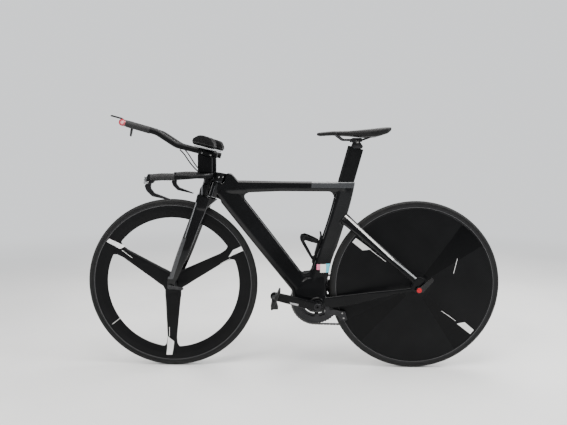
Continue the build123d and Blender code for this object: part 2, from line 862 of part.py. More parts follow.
# behind, rise, corner radius
tip_corners = [(-11, -5, 5), (-9, 37, 3), (24, 37, 3), (14, -5, 5), (8, -13, 5), (-6, -13, 5)]
blade += slab(from_front, tip_corners, 8, side=-fork_inner - 4)
blade -= rod(front_axle_at - across * through, front_axle_at, front_axle_radius + seat_gap)
# rise, ahead, corner radius
crown_corners = [
    (-42.2, 50.6, 5),
    (9.4, 53.2, 0),
    (21.6, -35.2, 0),
    (-10.7, -19.2, 4),
    (-24.2, -9.8, 4),
    (-35.8, -3, 4),
    (-54.4, -0.4, 5),
    (-62.6, 38.9, 5),
]
crown = slab(head_spot, crown_corners, fork_crown_width, soften=5) - over_crown
crown -= half_space(head_low_at, steer_back) - rod(head_spot(-through), head_spot(through), crown_swing)
fork = crown + blade + mirrored(blade)
fork -= wheel_part(front_axle_at, [
    (0, -18),
    (wheel_radius - 14, -18),
    (cut_radius - 3, -13),
    (cut_radius, -6),
    (cut_radius, 6),
    (cut_radius - 3, 13),
    (wheel_radius - 14, 18),
    (0, 18),
])
steerer_top = head_spot(head_length + 34)
fork += rod(head_spot(-swing_gap - 2), steerer_top, steerer_radius)
nodes["fork"] = fork

# Fairing ahead of the head tube, hollowed round it
# rise, ahead, nose width
fairing_rows = [(-swing_gap, 47, 24), (50, 50, 24), (72, 56, 24)]
fairing_width = 50.0
faces = []
for rise, ahead, nose_width in fairing_rows:
    middle = head_spot(rise, (ahead - fairing_width / 2) / 2)
    faces.append(egg(middle, steer_back, steer_dir, ahead + fairing_width / 2, fairing_width, nose_width))
fairing = loft(faces, ruled=True) - rod(head_spot(-through), head_spot(through), head_radius + swing_gap)

# rise, ahead, corner radius
cover_corners = [
    (40, 46.1, 3),
    (17, 52.5, 10),
    (-40.3, 51.2, 4),
    (-52.6, 33.7, 4),
    (-27.5, 20.6, 10),
    (4.7, 18.2, 10),
    (47.2, 23.2, 3),
]
cover = slab(head_spot, cover_corners, 38, soften=6) - fairing - fork
nodes["brake_cover"] = largest(cover)

# Headset
bearings = Part()
for low in (0, head_length - 12):
    bearings += ring(head_spot(low), head_spot(low + 12), head_bore - seat_gap, steerer_radius + running_gap)
nodes["headset_bearings"] = bearings

# Stem, with a shelf ahead for the base bar's wing
stem_low = head_length + swing_gap
stem_plane = Plane(origin=head_spot(stem_low), x_dir=-steer_back, z_dir=steer_dir)
stem_length = 49.0
stem_outline = Circle(stem_rear) + Pos(stem_length / 2, 0) * Rectangle(stem_length, stem_width)
stem = extrude(stem_plane * stem_outline, amount=50)
stem_top = head_spot(stem_low + 25.9, 23.4)
stem_top_rear = head_spot(stem_low + 33.6, -27.7)
stem -= half_space(stem_top, across.cross(stem_top_rear - stem_top) * -1)
stem -= rod(head_low_at, head_spot(head_length + through), steerer_radius + seat_gap)
half_chord = wing_chord / 2
half_wing = wing_thick / 2
# behind, rise, corner radius
shelf_corners = [
    (-half_chord - 30, -half_wing, 0),
    (half_chord, -half_wing, 0),
    (half_chord, 40, 0),
    (-half_chord - 30, 40, 0),
]
shelf = slab(from_bar, shelf_corners, 80)
nodes["stem"] = stem - shelf - fairing
cover_low, cover_high = head_spot(head_length + soft_gap), head_spot(head_length + swing_gap)
cover_radius = head_radius + swing_gap - soft_gap
nodes["headset_cover"] = ring(cover_low, cover_high, cover_radius, steerer_radius + seat_gap) - shelf
nodes["fork_fairing"] = fairing - nodes["stem"] - shelf

# Base bar, first its left half: share of the half width, behind, rise, heading, chord, thickness
wing_rows = [
    (0.0, 0, 0, 0, wing_chord, wing_thick),
    (0.47, 0, 0, 0, wing_chord, wing_thick),
    (0.66, -8, 0, 10, wing_chord * 0.86, wing_thick * 0.82),
    (0.8, -21, 0, 26, wing_chord * 0.7, wing_thick * 0.75),
    (0.92, -41, -1, 52, wing_chord * 0.52, wing_thick * 0.87),
    (1.0, -75, -1, 90, 2 * horn_radius, 2 * horn_radius),
]
faces = []
for share, behind, rise, heading, chord, thick in wing_rows:
    turn = math.radians(heading)
    run = Vector(-math.sin(turn), -math.cos(turn), 0)
    middle = from_bar(behind, rise, -share * bar_half_width)
    faces.append(boxed(middle, run.cross(up), run, chord, thick, 0.47))
# behind, rise
horn_rows = [(-75, -1), (-127, -1), (-167, -5)]
grip_rows = [(-81, -1), (-127, -1), (-165, -4.8)]
horn_bend = [60.0]
horn_points = [from_bar(behind, rise, -bar_half_width) for behind, rise in horn_rows]
half_bar = loft(faces, ruled=True) + pipe(horn_points, horn_bend, horn_radius)
nodes["base_bar"] = both_sides(half_bar)
grip_points = [from_bar(behind, rise, -bar_half_width) for behind, rise in grip_rows]
grip = pipe(grip_points, horn_bend, horn_radius + grip_wall, horn_radius + seat_gap) - half_bar
nodes["bar_grips"] = both_sides(grip)

# Brake levers in the horn ends
# behind, rise, corner radius
hood_corners = [
    (-166, 9, 3),
    (-173, 9, 4),
    (-180, -14, 6),
    (-174, -27, 5),
    (-158, -24, 5),
    (-150, -15, 4),
    (-166, -10, 4),
]
blade_corners = [
    (-174, -20, 3),
    (-187, -31, 8),
    (-180, -50, 14),
    (-161, -69, 14),
    (-125, -77, 12),
    (-94, -84, 2),
    (-91, -80.5, 2),
    (-125, -67, 14),
    (-152, -57, 12),
    (-165, -41, 10),
    (-163, -24, 3),
]
lever = slab(from_bar, hood_corners, 22, side=-bar_half_width, soften=3) - half_bar - grip
lever += slab(from_bar, blade_corners, 11, side=-bar_half_width, soften=1.8)
nodes["brake_lever_left"] = largest(lever)
nodes["brake_lever_right"] = mirrored(nodes["brake_lever_left"])

# Extensions, on risers that stand on the wing
# behind, rise
extension_rows = [(46.5, 77.5), (-107.5, 114.5), (-181.5, 162), (-293.5, 193)]
extension_points = [from_bar(behind, rise, -riser_side) for behind, rise in extension_rows]
extension = pipe(extension_points, [70, 70], extension_radius)
slope = (extension_points[1] - extension_points[0]).normalized()
slope_up = across.cross(slope)
tip_dir = (extension_points[3] - extension_points[2]).normalized()
nodes["extension_left"] = extension
nodes["extension_right"] = mirrored(extension)
grip_start, grip_end = extension_points[2] + tip_dir * 24, extension_points[3] - tip_dir * 2
grip_outer = extension_radius + extension_grip_wall
nodes["extension_grips"] = both_sides(ring(grip_start, grip_end, grip_outer, extension_radius + seat_gap))

extension_hole = rod(extension_points[0] - slope * 5, extension_points[1], extension_radius + seat_gap)
clamp_middle = extension_points[0] + slope * 46
clamp_half = slope * 24
clamp_ring = rod(clamp_middle - clamp_half, clamp_middle + clamp_half, clamp_radius)
plate_at = clamp_middle + slope_up * (extension_radius + 2) - across * (pad_side - riser_side) / 2
plate_plane = Plane(origin=plate_at, x_dir=slope, z_dir=slope_up)
plate_face = plate_plane * RectangleRounded(plate_length, pad_side - riser_side + plate_margin, plate_round)
pad_bracket = clamp_ring + extrude(plate_face, amount=pad_plate) - extension_hole
# behind, rise, corner radius
riser_corners = [
    (-half_chord + 1, half_wing, 0),
    (-half_chord + 1, riser_height, 6),
    (half_chord, riser_height - 13, 8),
    (half_chord, half_wing, 0),
]
riser = slab(from_bar, riser_corners, riser_width, side=-riser_side, soften=3)
riser -= extension_hole
clamp_room = clamp_half + slope * seat_gap
riser -= rod(clamp_middle - clamp_room, clamp_middle + clamp_room, clamp_radius + seat_gap)
riser -= extrude(plate_face, amount=60)
nodes["risers"] = both_sides(largest(riser))
nodes["pad_brackets"] = both_sides(pad_bracket)

# Arm pads: cups round the forearm, with a domed side view
pad_at = plate_at + slope_up * (pad_plate + soft_gap) - across * (pad_side - riser_side) / 2
pad_axis = pad_at + slope_up * pad_radius
cup = rod(pad_axis - slope * pad_length, pad_axis + slope * pad_length, pad_radius)
cup -= rod(pad_axis - slope * pad_length, pad_axis + slope * pad_length, pad_radius - pad_thick)


def on_pad(first, second):
    return pad_at + slope * first + slope_up * second


# ahead, rise, corner radius
pad_corners = [
    (-pad_length / 2, -2, 0),
    (-pad_length / 2, pad_height * 0.45, 20),
    (-pad_length * 0.3, pad_height, 22),
    (pad_length * 0.2, pad_height, 22),
    (pad_length / 2, pad_height * 0.5, 20),
    (pad_length / 2, -2, 0),
]
pad_block = slab(on_pad, pad_corners, 2 * pad_radius + 10)
nodes["arm_pad_left"] = largest(cup & pad_block)
nodes["arm_pad_right"] = mirrored(nodes["arm_pad_left"])

# Shifters in the extension ends, the left lever ahead and the right one down
knob_at = extension_points[3] + tip_dir * 14
shifter_body = rod(extension_points[3], knob_at, extension_radius + 1) + cross_rod(knob_at, 9, knob_radius)
# behind, rise, corner radius
ahead_corners = [(2, 10, 2), (-44, 22, 2), (-46, 26, 2), (-40, 28, 3), (0, 17, 2)]
down_corners = [(8, -8, 2), (-1, -46, 2), (-5, -47, 2), (-7, -42, 3), (-2, -8, 2)]
for side, name, corners in ((-1, "left", ahead_corners), (1, "right", down_corners)):
    body = mirrored(shifter_body) if side > 0 else shifter_body
    on_knob = near(knob_at + across * (riser_side + side * riser_side))
    nodes["shifter_" + name] = body + slab(on_knob, corners, 8, soften=1)

# Gear cables from the extensions' undersides to the wing's upper face
cable_start = 142.0
# behind, rise, side
cable_rows = [(-82, 85, -44.5), (-64, 56, -41), (-45, 30, -36.5), (-24, half_wing, -33)]
cable_exit = extension_points[0] + slope * cable_start - slope_up * (extension_radius + 0.85 * cable_radius)
cable_points = [cable_exit] + [from_bar(*row) for row in cable_rows]
cable_bends = []
for index in range(1, len(cable_points) - 1):
    before = cable_points[index] - cable_points[index - 1]
    after = cable_points[index + 1] - cable_points[index]
    half_turn = math.radians(before.get_angle(after)) / 2
    cable_bends.append(0.45 * min(before.length, after.length) / math.tan(half_turn))
print("cable bend radii", [round(bend) for bend in cable_bends])
cable = pipe(cable_points, cable_bends, cable_radius)
nodes["shift_cable_left"] = cable
nodes["shift_cable_right"] = mirrored(cable)

# Front axle, with a nut on the right and a quick-release lever on the left
front_reach = fork_inner + 8
axle = cross_rod(front_axle_at, front_reach, front_axle_radius)
for side in (-1, 1):
    axle += rod(from_front(0, 0, side * (hub_reach + soft_gap)), from_front(0, 0, side * fork_inner), 8.5)
    axle += rod(from_front(0, 0, side * front_reach), from_front(0, 0, side * (front_reach + 9)), 9)
# behind, rise, corner radius
front_lever_corners = [(0, -7, 3), (48, -13, 3), (54, -8, 3), (50, -2, 3), (2, 6, 3)]
axle += slab(from_front, front_lever_corners, 6, side=-front_reach - 6, soften=1.5)
nodes["front_axle"] = axle


# Bottle cage on the seat tube's front edge: a spine and the arms that wrap the bottle
cage_middle = between(seat_front_edge[1], seat_front_edge[2], 0.5)
cage_up = (seat_front_edge[2] - seat_front_edge[1]).normalized()
cage_out = across.cross(cage_up) * -1
bottle_radius = 37.0
bottle_reach = 42.0
cage_width = 22.0
cage_wall = 2.5


def on_cage(rise, ahead):
    return cage_middle + cage_up * rise + cage_out * ahead


wrap = ring(on_cage(-105, bottle_reach), on_cage(55, bottle_reach), bottle_radius + cage_wall, bottle_radius)
# rise, ahead, corner radius
arm_outer = [(-83, -6, 0), (-9, 78, 6), (9, 84, 6), (16, 65, 6), (11, -2, 0)]
arm_inner = [(-63, 5, 3), (-9, 63, 4), (-2, 60, 4), (-1, 8, 3)]
cage = wrap & (slab(on_cage, arm_outer, through) - slab(on_cage, arm_inner, through))
spine_corners = [
    (-84, -4, 0),
    (-84, 5, 3),
    (28, 7, 3),
    (44, 15, 3),
    (47, 9, 3),
    (32, 1, 3),
    (28, -4, 0),
]
cage += slab(on_cage, spine_corners, cage_width, soften=1)
nodes["bottle_cage"] = largest(cage - frame)

# Front derailleur: two cage plates either side of the chain, held from the seat tube
# behind, rise, corner radius
cage_corners = [(-50, 117, 6), (-98, 90, 8), (-93, 70, 8), (-30, 90, 20), (4, 112, 6), (-12, 122, 6)]
swing_at = from_bracket(-9, 112)
shifted = Part()
for side in (chain_side - cage_half, chain_side + cage_half):
    shifted += slab(from_bracket, cage_corners, cage_sheet, side=side)
shifted += rod(swing_at + across * 8, swing_at + across * (chain_side + 7), 6)
nodes["front_derailleur"] = largest(shifted - frame)

# Rear derailleur: knuckles, a linkage and the cage with its jockey wheels
# jockey's place, then reach behind and rise from it
cage_rows = [
    (upper_jockey_place, -11, 11),
    (upper_jockey_place, 13, 10),
    (lower_jockey_place, 13, -12),
    (lower_jockey_place, -12, -10),
]
cage_plate = [(behind + reach, rise + lift, 8) for (behind, rise), reach, lift in cage_rows]
knuckle_side = chain_side + 24
derailleur = Part()
for side in (chain_side - cage_half, chain_side + cage_half):
    derailleur += slab(from_rear, cage_plate, cage_sheet, side=side)
for place in (upper_jockey, lower_jockey):
    derailleur += rod(place + across * (chain_side - 7), place + across * (chain_side + 7), 3)
derailleur += rod(upper_jockey + across * (chain_side + 5), upper_jockey + across * knuckle_side, 11)
# behind, rise, corner radius
link_corners = [(-8, -89, 6), (16, -89, 6), (28, -35, 6), (12, -27, 6)]
derailleur += slab(from_rear, link_corners, 12, side=knuckle_side, soften=2)
nodes["rear_derailleur"] = derailleur

jockeys = Part()
for place in (upper_jockey, lower_jockey):
    jockeys += toothed(place, chain_side, jockey_teeth, meshed_tip, 3 + seat_gap)
nodes["jockey_wheels"] = jockeys

# Rear brake behind the bracket, its pads along the rim's brake track
track_radius = rim_outer - 12
pad_out = leaning(202.4)
pad_along = across.cross(pad_out)
pad_middle = rear_axle_at + pad_out * track_radius


def on_track(first, second):
    return pad_middle + pad_along * first + pad_out * second


# behind, rise, corner radius
bridge_corners = [(32, -8, 3), (50, -8, 3), (47, -42, 3), (32, -38, 3)]
caliper_corners = [
    (32, -22, 3),
    (70, -20, 5),
    (112, -28, 6),
    (120, -60, 6),
    (106, -66, 6),
    (85, -44, 10),
    (32, -38, 3),
]
shoe_corners = [(-20, -5, 2), (20, -5, 2), (20, 5, 2), (-20, 5, 2)]
brake = slab(from_bracket, bridge_corners, 64)
for side in (-1, 1):
    brake += slab(from_bracket, caliper_corners, 10, side=side * 27, soften=2)
    brake += slab(on_track, shoe_corners, 9, side=side * 18)
nodes["rear_brake"] = brake - frame - chainstay - nodes["chainstay_right"]

for node, shape in nodes.items():
    export_step(shape, f"parts/{node}.step")
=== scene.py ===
import itertools
import json
import math

import bmesh
import bpy
from mathutils import Matrix, Vector
from mathutils.bvhtree import BVHTree


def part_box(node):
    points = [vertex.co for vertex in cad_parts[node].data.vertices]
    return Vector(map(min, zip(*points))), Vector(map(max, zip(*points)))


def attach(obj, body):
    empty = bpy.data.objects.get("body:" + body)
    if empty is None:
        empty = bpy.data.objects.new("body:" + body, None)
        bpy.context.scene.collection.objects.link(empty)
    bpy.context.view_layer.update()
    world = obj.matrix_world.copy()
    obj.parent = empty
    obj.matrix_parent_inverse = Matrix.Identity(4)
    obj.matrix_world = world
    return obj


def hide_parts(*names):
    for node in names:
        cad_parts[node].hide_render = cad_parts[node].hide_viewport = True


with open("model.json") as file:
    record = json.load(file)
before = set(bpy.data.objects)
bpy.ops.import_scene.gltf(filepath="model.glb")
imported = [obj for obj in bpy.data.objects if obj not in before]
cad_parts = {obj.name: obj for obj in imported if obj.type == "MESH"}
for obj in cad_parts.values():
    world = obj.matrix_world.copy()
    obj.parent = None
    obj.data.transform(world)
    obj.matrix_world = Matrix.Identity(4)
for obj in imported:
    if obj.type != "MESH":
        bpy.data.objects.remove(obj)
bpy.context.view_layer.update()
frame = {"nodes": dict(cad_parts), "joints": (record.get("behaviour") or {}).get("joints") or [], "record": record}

nodes = frame["nodes"]
joints = {joint["name"]: joint for joint in frame["joints"]}
frontAxle = Vector(joints["front_wheel_spin"]["pos_m"])
rearAxle = Vector(joints["rear_wheel_spin"]["pos_m"])
wheelRadius = (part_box("front_tyre")[1][2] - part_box("front_tyre")[0][2]) / 2
floorHeight = frontAxle.z - wheelRadius

# axes that several pieces share, in millimetres behind the front axle and above the floor
crankAxis = (570, 260)
leftPedalAxis = (403, 303.2)
rightPedalAxis = (737, 216.8)
hands = ((-1, "Left"), (1, "Right"))


def spot(behind, height, side=0.0):
    # millimetres behind the front axle, above the floor and to the rider's right
    return Vector((frontAxle.x + behind / 1000, side / 1000, floorHeight + height / 1000))


def placed(name, data):
    piece = bpy.data.objects.new(name, data)
    bpy.context.scene.collection.objects.link(piece)
    return piece


# Camera, as the photograph was taken
view = {
    "behind": 444.5,
    "height": 809.0,
    "side": -1890.0,
    "pitch": 5.713,
    "yaw": -0.284,
    "roll": 0.472,
    "focalPixels": 485.0,
    "imageWidth": 567,
    "sensor": 36.0,
    "clip": (0.05, 60),
}


def makeCamera():
    pitch, yaw, roll = (math.radians(view[angle]) for angle in ("pitch", "yaw", "roll"))
    ahead = Vector((math.sin(yaw) * math.cos(pitch), math.cos(yaw) * math.cos(pitch), -math.sin(pitch)))
    right = Vector((math.cos(yaw), -math.sin(yaw), 0))
    upward = right.cross(ahead)
    rightTurned = right * math.cos(roll) + upward * math.sin(roll)
    upTurned = upward * math.cos(roll) - right * math.sin(roll)
    data = bpy.data.cameras.new("photoCamera")
    data.sensor_width = view["sensor"]
    data.lens = view["focalPixels"] / view["imageWidth"] * view["sensor"]
    data.clip_start, data.clip_end = view["clip"]
    camera = placed("photoCamera", data)
    turn = Matrix((rightTurned, upTurned, -ahead)).transposed().to_4x4()
    camera.matrix_world = Matrix.Translation(spot(view["behind"], view["height"], view["side"])) @ turn
    bpy.context.scene.camera = camera


makeCamera()
print("camera ready")


def mathNode(operation, reflected=False):
    # a method of Value that adds one Math node
    def method(self, *others):
        inputs = [*others, self] if reflected else [self, *others]
        node = self.finish.add("ShaderNodeMath", {"operation": operation}, dict(enumerate(inputs)))
        return Value(self.finish, node.outputs[0])
    return method


class Value:
    # one number in a shader, so that maths on it reads as Python
    def __init__(self, finish, socket):
        self.finish = finish
        self.socket = socket

    __add__ = __radd__ = mathNode("ADD")
    __sub__ = mathNode("SUBTRACT")
    __rsub__ = mathNode("SUBTRACT", reflected=True)
    __mul__ = __rmul__ = mathNode("MULTIPLY")
    __truediv__ = mathNode("DIVIDE")
    __rtruediv__ = mathNode("DIVIDE", reflected=True)
    __pow__ = mathNode("POWER")
    __abs__ = mathNode("ABSOLUTE")
    __gt__ = mathNode("GREATER_THAN")
    __lt__ = mathNode("LESS_THAN")
    sine = mathNode("SINE")
    floor = mathNode("FLOOR")
    fraction = mathNode("FRACT")
    least = mathNode("MINIMUM")
    most = mathNode("MAXIMUM")
    angleTo = mathNode("ARCTAN2")
    repeat = mathNode("FLOORED_MODULO")
    wrap = mathNode("WRAP")

    def between(self, low, high):
        return (self > low) * (self < high)

    def ramp(self, low, high, start=0.0, end=1.0):
        settings = {"interpolation_type": "SMOOTHSTEP"}
        node = self.finish.add("ShaderNodeMapRange", settings, {0: self, 1: low, 2: high, 3: start, 4: end})
        return Value(self.finish, node.outputs[0])


class Finish:
    # one material: every node comes from add(), every colour goes through blend()
    def __init__(self, name, **fixed):
        self.material = bpy.data.materials.new(name)
        self.material.use_nodes = True
        self.tree = self.material.node_tree
        self.shader = next(n for n in self.tree.nodes if n.type == "BSDF_PRINCIPLED")
        self.place = None
        self.split = None
        for socket, value in fixed.items():
            self.shader.inputs[socket.replace("_", " ")].default_value = value

    def add(self, kind, settings=None, sockets=None):
        node = self.tree.nodes.new(kind)
        for key, value in (settings or {}).items():
            setattr(node, key, value)
        for key, value in (sockets or {}).items():
            self.feed(node.inputs[key], value)
        return node

    def feed(self, socket, value):
        if isinstance(value, Value):
            value = value.socket
        if isinstance(value, bpy.types.NodeSocket):
            self.tree.links.new(value, socket)
        else:
            socket.default_value = value

    def coordinates(self):
        if self.place is None:
            self.place = self.add("ShaderNodeTexCoord").outputs["Object"]
        return self.place

    def axes(self):
        if self.split is None:
            node = self.add("ShaderNodeSeparateXYZ", None, {0: self.coordinates()})
            self.split = [Value(self, node.outputs[i]) for i in range(3)]
        return self.split

    def around(self, centre):
        # distance from an axle that runs across the bike, and the turn about it
        x, y, z = self.axes()
        right, high = x - centre.x, z - centre.z
        return (right * right + high * high) ** 0.5, high.angleTo(right)

    def patch(self, corners, edge=0.0003):
        # one inside a convex outline drawn on the bike's side
        x, y, z = self.axes()
        middle = sum(corners, Vector()) / len(corners)
        inside = None
        for start, end in zip(corners, corners[1:] + corners[:1]):
            inward = Vector((end.z - start.z, 0, start.x - end.x)).normalized()
            if inward.dot(middle - start) < 0:
                inward.negate()
            depth = ((x - start.x) * inward.x + (z - start.z) * inward.z).ramp(-edge, edge)
            inside = depth if inside is None else inside.least(depth)
        return inside

    def line(self, start, end, width):
        # one along a straight line drawn on the bike's side
        run = (end - start).normalized()
        aside = Vector((-run.z, 0, run.x)) * width / 2
        return self.patch([start + aside, end + aside, end - aside, start - aside])

    def twill(self, size, lean=0.6):
        # a two-by-two weave: which thread lies over, and how high it arches
        x, y, z = self.axes()
        along, down = (x + y * lean) / size, (z - y * lean) / size
        over = (along.floor() + down.floor()).repeat(4) < 1.5
        arch = (down.fraction() * math.pi).sine() * over + (along.fraction() * math.pi).sine() * (1 - over)
        return over, arch

    def noise(self, scale, detail=3.0, roughness=0.5):
        sockets = {"Vector": self.coordinates(), "Scale": scale, "Detail": detail, "Roughness": roughness}
        return Value(self, self.add("ShaderNodeTexNoise", None, sockets).outputs["Fac"])

    def blend(self, amount, under, over):
        node = self.add("ShaderNodeMix", {"data_type": "RGBA"}, {0: amount, 6: under, 7: over})
        return node.outputs[2]

    def bump(self, height, distance, strength):
        sockets = {"Height": height, "Distance": distance, "Strength": strength}
        return self.add("ShaderNodeBump", None, sockets).outputs["Normal"]

    def give(self, **sockets):
        for name, value in sockets.items():
            self.feed(self.shader.inputs[name.replace("_", " ")], value)
        return self.material


def pieceFrom(name, mesh):
    # a finished piece's object sits at the origin, with its place in its mesh
    data = bpy.data.meshes.new(name)
    mesh.to_mesh(data)
    mesh.free()
    return placed(name, data)


def evaluated(piece):
    # the mesh of a piece with its modifiers or bevel applied
    graph = bpy.context.evaluated_depsgraph_get()
    return bpy.data.meshes.new_from_object(piece.evaluated_get(graph))


def shaped(piece):
    # applies what is on the piece, so that no modifier stays on it
    data = evaluated(piece)
    piece.modifiers.clear()
    piece.data = data


def welded(*names):
    # one closed mesh from copies of CAD nodes
    mesh = bmesh.new()
    for name in names:
        mesh.from_mesh(nodes[name].data)
    bmesh.ops.remove_doubles(mesh, verts=mesh.verts, dist=1e-6)
    return mesh


def smoothed(piece, degrees=None):
    piece.data.shade_smooth()
    if degrees:
        piece.data.set_sharp_from_angle(angle=math.radians(degrees))
    return piece


def fitted(piece, body, slot, material, *replaced):
    piece.data.materials.clear()
    piece.data.materials.append(material)
    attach(piece, body)
    if replaced:
        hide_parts(*replaced)
    return piece


def addPart(mesh, part):
    # a part shaped by itself joins the piece's mesh
    data = bpy.data.meshes.new("part")
    part.to_mesh(data)
    part.free()
    mesh.from_mesh(data)
    bpy.data.meshes.remove(data)


def ringed(mesh, rings):
    # rings of place, radius and sides, bridged in turn and closed at both ends
    loops = []
    for place, radius, sides in rings:
        ring = bmesh.ops.create_circle(mesh, segments=sides, radius=radius)["verts"]
        bmesh.ops.transform(mesh, matrix=place, verts=ring)
        edges = list(dict.fromkeys(edge for vert in ring for edge in vert.link_edges))
        if loops:
            bmesh.ops.bridge_loops(mesh, edges=loops[-1] + edges)
        loops.append(edges)
    for edges in (loops[0], loops[-1]):
        bmesh.ops.edgeloop_fill(mesh, edges=edges)


def curveThrough(name, places, radius, kind, roundness):
    data = bpy.data.curves.new(name, "CURVE")
    data.dimensions = "3D"
    data.bevel_depth = radius
    data.bevel_resolution = roundness
    spline = data.splines.new(kind)
    spline.points.add(len(places) - 1)
    for point, place in zip(spline.points, places):
        point.co = (*place, 1)
    return placed(name, data)


# Studio
studio = {
    "floorColour": (0.72, 0.72, 0.715, 1),
    "floorShade": (0.66, 0.66, 0.66, 1),
    "floorRough": 0.85,
    "floorSpecular": 0.2,
    "floorHalf": 9,
    "floorMiddle": (0, 3),
    "floorFade": (1.4, 4.6),
    "cloudScale": 1.3,
    "skyColour": (0.9, 0.92, 0.94, 1),
    "skyStrength": 0.28,
    "backdropStrength": 1.25,
    # name, place, target, size, power, colour
    "lights": [
        ("topLight", (0.2, -0.1, 2.4), (0.0, 0, -0.4), (4.0, 2.0), 230.0, (1, 0.99, 0.97)),
        ("rearTopLight", (2.5, -0.7, 1.5), (0, 0, -0.3), (1.2, 1.2), 70.0, (1, 1, 1)),
        ("keyLight", (-2.0, -2.0, 2.0), (-0.2, 0, -0.3), (1.4, 1.0), 60.0, (1, 0.98, 0.95)),
        ("frontStrip", (-3.2, -0.9, 0.4), (-0.3, 0, -0.4), (0.5, 1.8), 34.0, (1, 1, 1)),
        ("rearStrip", (3.0, -0.8, 0.5), (0.2, 0, -0.4), (0.5, 1.8), 26.0, (0.95, 0.98, 1)),
        ("rimLight", (0.2, 2.6, 1.6), (0, 0, -0.3), (3.0, 1.0), 50.0, (1, 1, 1)),
    ],
}


def makeFloor():
    rough, specular = studio["floorRough"], studio["floorSpecular"]
    finish = Finish("studioFloor", Roughness=rough, Specular_IOR_Level=specular)
    x, y, z = finish.axes()
    cloudy = finish.noise(studio["cloudScale"], 4).ramp(0.35, 0.7)
    finish.give(Base_Color=finish.blend(cloudy, studio["floorColour"], studio["floorShade"]))
    # far out the floor fades into the backdrop
    distance = (x * x + y * y) ** 0.5
    glow = finish.add("ShaderNodeEmission", None, {0: studio["skyColour"], 1: studio["backdropStrength"]})
    ends = {0: distance.ramp(*studio["floorFade"]), 1: finish.shader.outputs[0], 2: glow.outputs[0]}
    mixed = finish.add("ShaderNodeMixShader", None, ends)
    surface = next(n for n in finish.tree.nodes if n.type == "OUTPUT_MATERIAL").inputs["Surface"]
    finish.feed(surface, mixed.outputs[0])
    mesh = bmesh.new()
    bmesh.ops.create_grid(mesh, x_segments=1, y_segments=1, size=studio["floorHalf"])
    mesh.transform(Matrix.Translation((*studio["floorMiddle"], floorHeight)))
    floor = pieceFrom("studioFloor", mesh)
    floor.data.materials.append(finish.material)


def makeSky():
    # the camera sees a brighter backdrop than the one that lights the bike
    world = bpy.data.worlds.new("studioSky")
    world.use_nodes = True
    tree = world.node_tree
    sky = tree.nodes["Background"]
    sky.inputs["Color"].default_value = studio["skyColour"]
    strength = tree.nodes.new("ShaderNodeMapRange")
    strength.inputs["To Min"].default_value = studio["skyStrength"]
    strength.inputs["To Max"].default_value = studio["backdropStrength"]
    seen = tree.nodes.new("ShaderNodeLightPath").outputs["Is Camera Ray"]
    tree.links.new(seen, strength.inputs["Value"])
    tree.links.new(strength.outputs["Result"], sky.inputs["Strength"])
    bpy.context.scene.world = world


def makeLight(name, place, target, size, power, colour):
    data = bpy.data.lights.new(name, "AREA")
    data.shape = "RECTANGLE"
    data.size, data.size_y = size
    data.energy = power
    data.color = colour
    lamp = placed(name, data)
    lamp.location = place
    lamp.rotation_euler = (Vector(target) - Vector(place)).to_track_quat("-Z", "Y").to_euler()


makeFloor()
makeSky()
for row in studio["lights"]:
    makeLight(*row)
print("studio ready")


# Finishes
def tone(level, blue=None):
    # a neutral colour, with a little more or less blue
    return (level, level, blue or level, 1)


carbonLook = {
    "glossBlack": (0.0028, 0.0029, 0.0032, 1),
    "glossThread": (0.0062, 0.0064, 0.007, 1),
    "glossRough": 0.2,
    "glossSpecular": 0.06,
    "satinBlack": (0.0036, 0.0037, 0.004, 1),
    "satinThread": (0.0072, 0.0074, 0.008, 1),
    "satinRough": 0.4,
    "satinSpecular": 0.085,
    "weave": 0.0021,
    "weaveDepth": 0.00004,
    "weaveStrength": 0.35,
    "threadShare": 0.6,
    "cloudScale": 9,
    "smearScale": 34,
    "polish": 0.2,
    "coat": 0.42,
    "coatRough": 0.06,
    # the lacquer thins from the upper height down to the lower one
    "thinCoat": 0.1,
    "thinHeights": (390, 520),
}
paint = {
    "silver": (0.3, 0.31, 0.32, 1),
    "grey": (0.042, 0.044, 0.047, 1),
    # painted highlight colour for the top tube's panel
    "paintedTopHighlight": (0.2, 0.205, 0.21, 1),
    "label": tone(0.42, 0.43),
    # seam: a painted highlight colour, drawn as thin pale lines along edges near the head tube
    "seam": tone(0.1, 0.11),
    "white": tone(0.8, 0.79),
    "pink": (0.75, 0.2, 0.33, 1),
    "cream": (0.8, 0.78, 0.74, 1),
    "lightBlue": (0.12, 0.5, 0.62, 1),
}


def carbon(name, gloss, marks=(), polish=None, thin=False):
    # woven carbon under lacquer, with marks given as (mask maker, colour, roughness): paint, and on some pieces
    # painted highlights and reflections
    kind = "gloss" if gloss else "satin"
    rough = carbonLook[kind + "Rough"]
    finish = Finish(
        name,
        Coat_Weight=carbonLook["coat"] if gloss else 0.0,
        Coat_Roughness=carbonLook["coatRough"],
        Specular_IOR_Level=carbonLook[kind + "Specular"],
    )
    over, arch = finish.twill(carbonLook["weave"])
    cloud = finish.noise(carbonLook["cloudScale"]).ramp(0.3, 0.75)
    share = carbonLook["threadShare"]
    shade = over * share + cloud * (1 - share)
    colour = finish.blend(shade, carbonLook[kind + "Black"], carbonLook[kind + "Thread"])
    roughness = finish.noise(carbonLook["smearScale"], 4).ramp(0.3, 0.8, rough - 0.05, rough + 0.07)
    if polish:
        shine = polish(finish)
        roughness = roughness - shine * carbonLook["polish"]
        colour = finish.blend(shine, colour, carbonLook["glossBlack"])
    for mask, markColour, markRough in marks:
        inside = mask(finish)
        colour = finish.blend(inside, colour, markColour)
        roughness = roughness * (1 - inside) + inside * markRough
    if thin:
        low, high = (spot(0, height).z for height in carbonLook["thinHeights"])
        finish.give(Coat_Weight=finish.axes()[2].ramp(low, high, carbonLook["thinCoat"], carbonLook["coat"]))
    normal = finish.bump(arch, carbonLook["weaveDepth"], carbonLook["weaveStrength"])
    return finish.give(Base_Color=colour, Roughness=roughness, Normal=normal)


